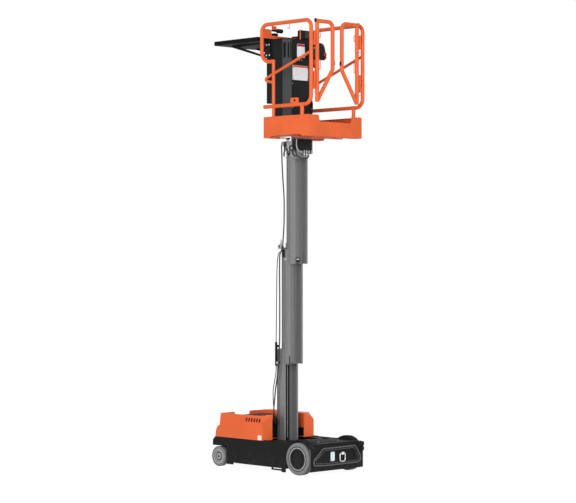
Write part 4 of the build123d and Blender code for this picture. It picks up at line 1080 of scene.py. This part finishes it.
def trayDetails():
    # Ribs under the tray, its rolled rim and the bolts through its arms. Rim: a tube round a rounded outline
    look = trayLook
    (x0, x1), y, (low, high) = look["x"], look["y"], look["z"]
    ribs = [((x, -y + 22, low - 1), (x + 10, y - 22, low + 8), 2.5)
            for x in np.linspace(x0 + 60, x1 - 70, look["ribs"]["count"])]
    ribs += [((x0 + 30, a - 5, low - 1), (x1 - 30, a + 5, low + 8), 2.5) for a in look["ribs"]["y"]]
    addPiece("trayRibs", boxes(*ribs), "black_plastic", "platform")
    outline = roundedOutline(x1 - x0 - 6, 2 * y - 6, 30, 6) + ((x0 + x1) / 2, 0)
    rim = np.column_stack((outline, np.full(len(outline), high - look["rim"])))
    addPiece("trayRim", tube(rim, look["rim"], 8, True, (0, 0, 1)), "black_plastic", "platform")
    bolts = [(x, s * look["bolts"]["y"], low - 2) for s in (1, -1) for x in look["bolts"]["x"]]
    addPiece("trayBolts", boltsAt(12, "z", bolts, -1), "steel", "platform")
    addPiece("trayClamp", boxes(*look["clamp"]).paired(), "black_plastic", "platform")
    addPiece("trayClampBolts", boltsAt(10, "y", look["clampBolts"]).paired(), "bright_zinc", "platform")
    print("tray detailed")


panLook = {
    "x": (-149.0, 479.0), "y": 373.0, "z": (3292.0, 3499.5),
    "bead": {"inset": 2.5, "radius": 3.4, "rise": 5.0, "along": 84}, "topBead": 2.6,
    "crossRibs": (60, 220), "frontRib": {"x": 120, "y": 254},
    "tread": {"x": (-110, 300), "y": (-330, 331), "pitch": 30, "z": 3317.6, "size": (20, 6)},
}


def panDetails():
    # Beads are tubes along the pan's edges, ribs rounded blocks, and the tread a grid of slabs turned 45 degrees,
    # to one side or the other in turn
    look = panLook
    (x0, x1), y, (low, high) = look["x"], look["y"], look["z"]
    bead, rib, tread = look["bead"], look["frontRib"], look["tread"]
    e = bead["inset"]
    edge = np.array(((x0 + bead["along"], y - e), (x0 + 16, y - e), (x0 + 6, y - e - 4), (x0 + e, y - 16), (x0 + e, 0)))
    edge = np.vstack((edge, edge[-2::-1] * (1, -1)))
    lower = np.column_stack((edge, np.full(len(edge), low + bead["rise"])))
    addPiece("panLowerBead", tube(lower, bead["radius"], 8, across=(0, 0, 1)), "orange_paint", "platform")
    top = tube(((x0 + 10, y - 2, high - 2), (x1 - 8, y - 2, high - 2)), look["topBead"], 8)
    addPiece("panTopBead", top.paired(), "orange_paint", "platform")
    under = [((x0 + x, -y + 40, low - 1), (x0 + x + 36, y - 40, low + 9), 4) for x in look["crossRibs"]]
    under += [((x1 - rib["x"], s * rib["y"] - 80, low - 1), (x1 - rib["x"] + 36, s * rib["y"] + 80, low + 9), 4)
              for s in (1, -1)]
    addPiece("panRibs", boxes(*under), "orange_paint", "platform")
    pitch, c = tread["pitch"], math.sqrt(0.5)
    lugs = []
    for x in np.arange(*tread["x"], pitch):
        for a in np.arange(*tread["y"], pitch):
            s = (c, -c)[int(x / pitch + a / pitch) % 2]
            outline = roundedOutline(*tread["size"], 2.6, 2)
            lugs.append(slab(outline, (x, a, tread["z"]), (c, s, 0), (-s, c, 0), 1.4, 0.5))
    addPiece("panTread", together(lugs), "black_paint", "platform")
    print("pan detailed")


for stage in (wheelDetails, rearPanelDetails, deckDetails, hoodDetails, cableDetails, hoseDetails, chainDetails,
              mastDetails, guardDetails, controlDetails, gateDetails, trayDetails, panDetails):
    stage()


studioLook = {
    "surround": 0.5,  # the world's strength as a light
    "floorSize": 120.0,
    "floorGlow": 0.85,
    "floorLevel": 1.12,
    "floorTone": (0.93, 0.93, 0.93),
    "floorBounce": (0.55, 0.55, 0.55),
    "lamps": {
        "bigSoftLamp": {"size": (6.0, 6.0), "power": 735.0, "place": (-5.0, 10.0, 3.4), "target": (0, 0, 2.0)},
        "fillLamp": {"size": (5.0, 5.0), "power": 300.0, "place": (-11.0, 1.0, 3.0), "target": (0, 0, 2.0)},
    },
}
cameraLook = {
    "place": (-13.8408, 13.484, 2.154),
    "aim": (0.7153, -0.6988, 0.0010),
    "focalPixels": 1924.77,
    "imageWidth": 576,
    "sensor": 36.0,
}


def seenRay(network):
    # 1 for a ray from the camera, a shine or glass, else 0: the largest of three of Light Path's outputs
    camera, shine, glass = [network.node("ShaderNodeLightPath", output=f"Is {ray} Ray")
                            for ray in ("Camera", "Glossy", "Transmission")]
    return camera.atLeast(shine).atLeast(glass)


def surround():
    # The world: strength 1 where it is seen, and less as a light
    world = bpy.data.worlds.new("studio")
    scene.world = world
    world.use_nodes = True
    sky = Network(world.node_tree)
    level = sky.node("ShaderNodeMapRange", {},
                     {"Value": seenRay(sky), "To Min": studioLook["surround"], "To Max": 1.0})
    background = sky.node("ShaderNodeBackground", {}, {"Color": rgb(1, 1, 1), "Strength": level})
    sky.node("ShaderNodeOutputWorld", {}, {0: background})


def directionEuler(aim):
    # Turns -Z to point along aim, with Y up: from the angle round Z and the angle above the level
    heading = math.atan2(-aim[0], aim[1])
    flat = math.hypot(aim[0], aim[1])
    return (math.pi / 2 + math.atan2(aim[2], flat), 0.0, heading)


def standing(name, data, place, aim):
    # A lamp or camera at a place, looking along aim
    made = bpy.data.objects.new(name, data)
    scene.collection.objects.link(made)
    made.location = place
    made.rotation_euler = directionEuler(aim)
    return made


def softLamps():
    # Square area lamps, each turned to its target
    for name, look in studioLook["lamps"].items():
        lamp = bpy.data.lights.new(name, "AREA")
        lamp.shape = "RECTANGLE"
        lamp.size, lamp.size_y = look["size"]
        lamp.energy = look["power"]
        standing(name, lamp, look["place"], np.array(look["target"]) - look["place"])


def floorSheet():
    # A square at z = 0. Its finish mixes a plain shader with a glow where the floor is seen.
    side = studioLook["floorSize"] / 2
    mesh = bpy.data.meshes.new("floor")
    mesh.from_pydata([(-side, -side, 0), (side, -side, 0), (side, side, 0), (-side, side, 0)], [], [(0, 1, 2, 3)])
    floor = bpy.data.objects.new("floor", mesh)
    scene.collection.objects.link(floor)
    pale = Finish("paleFloor", Roughness=0.9, Specular_IOR_Level=0.0)
    seen = seenRay(pale)
    pale.feed("Base Color", pale.mix(seen, rgb(*studioLook["floorBounce"]), rgb(*studioLook["floorTone"])))
    glow = pale.node("ShaderNodeEmission", {}, {"Strength": studioLook["floorLevel"]})
    both = pale.node("ShaderNodeMixShader", {}, {0: seen * studioLook["floorGlow"], 1: pale.shader, 2: glow})
    pale.tree.links.new(both.socket, pale.out.made.inputs[0])
    mesh.materials.append(pale.material)


def photoCamera():
    # Lens length in millimetres: focal length in pixels over the image's width, times the sensor's
    lens = bpy.data.cameras.new("camera")
    lens.sensor_width = cameraLook["sensor"]
    lens.lens = cameraLook["focalPixels"] / cameraLook["imageWidth"] * lens.sensor_width
    lens.clip_end = 200.0
    scene.camera = standing("camera", lens, cameraLook["place"], cameraLook["aim"])


surround()
softLamps()
floorSheet()
photoCamera()
scene.view_settings.view_transform = "Standard"
print("stage ready")
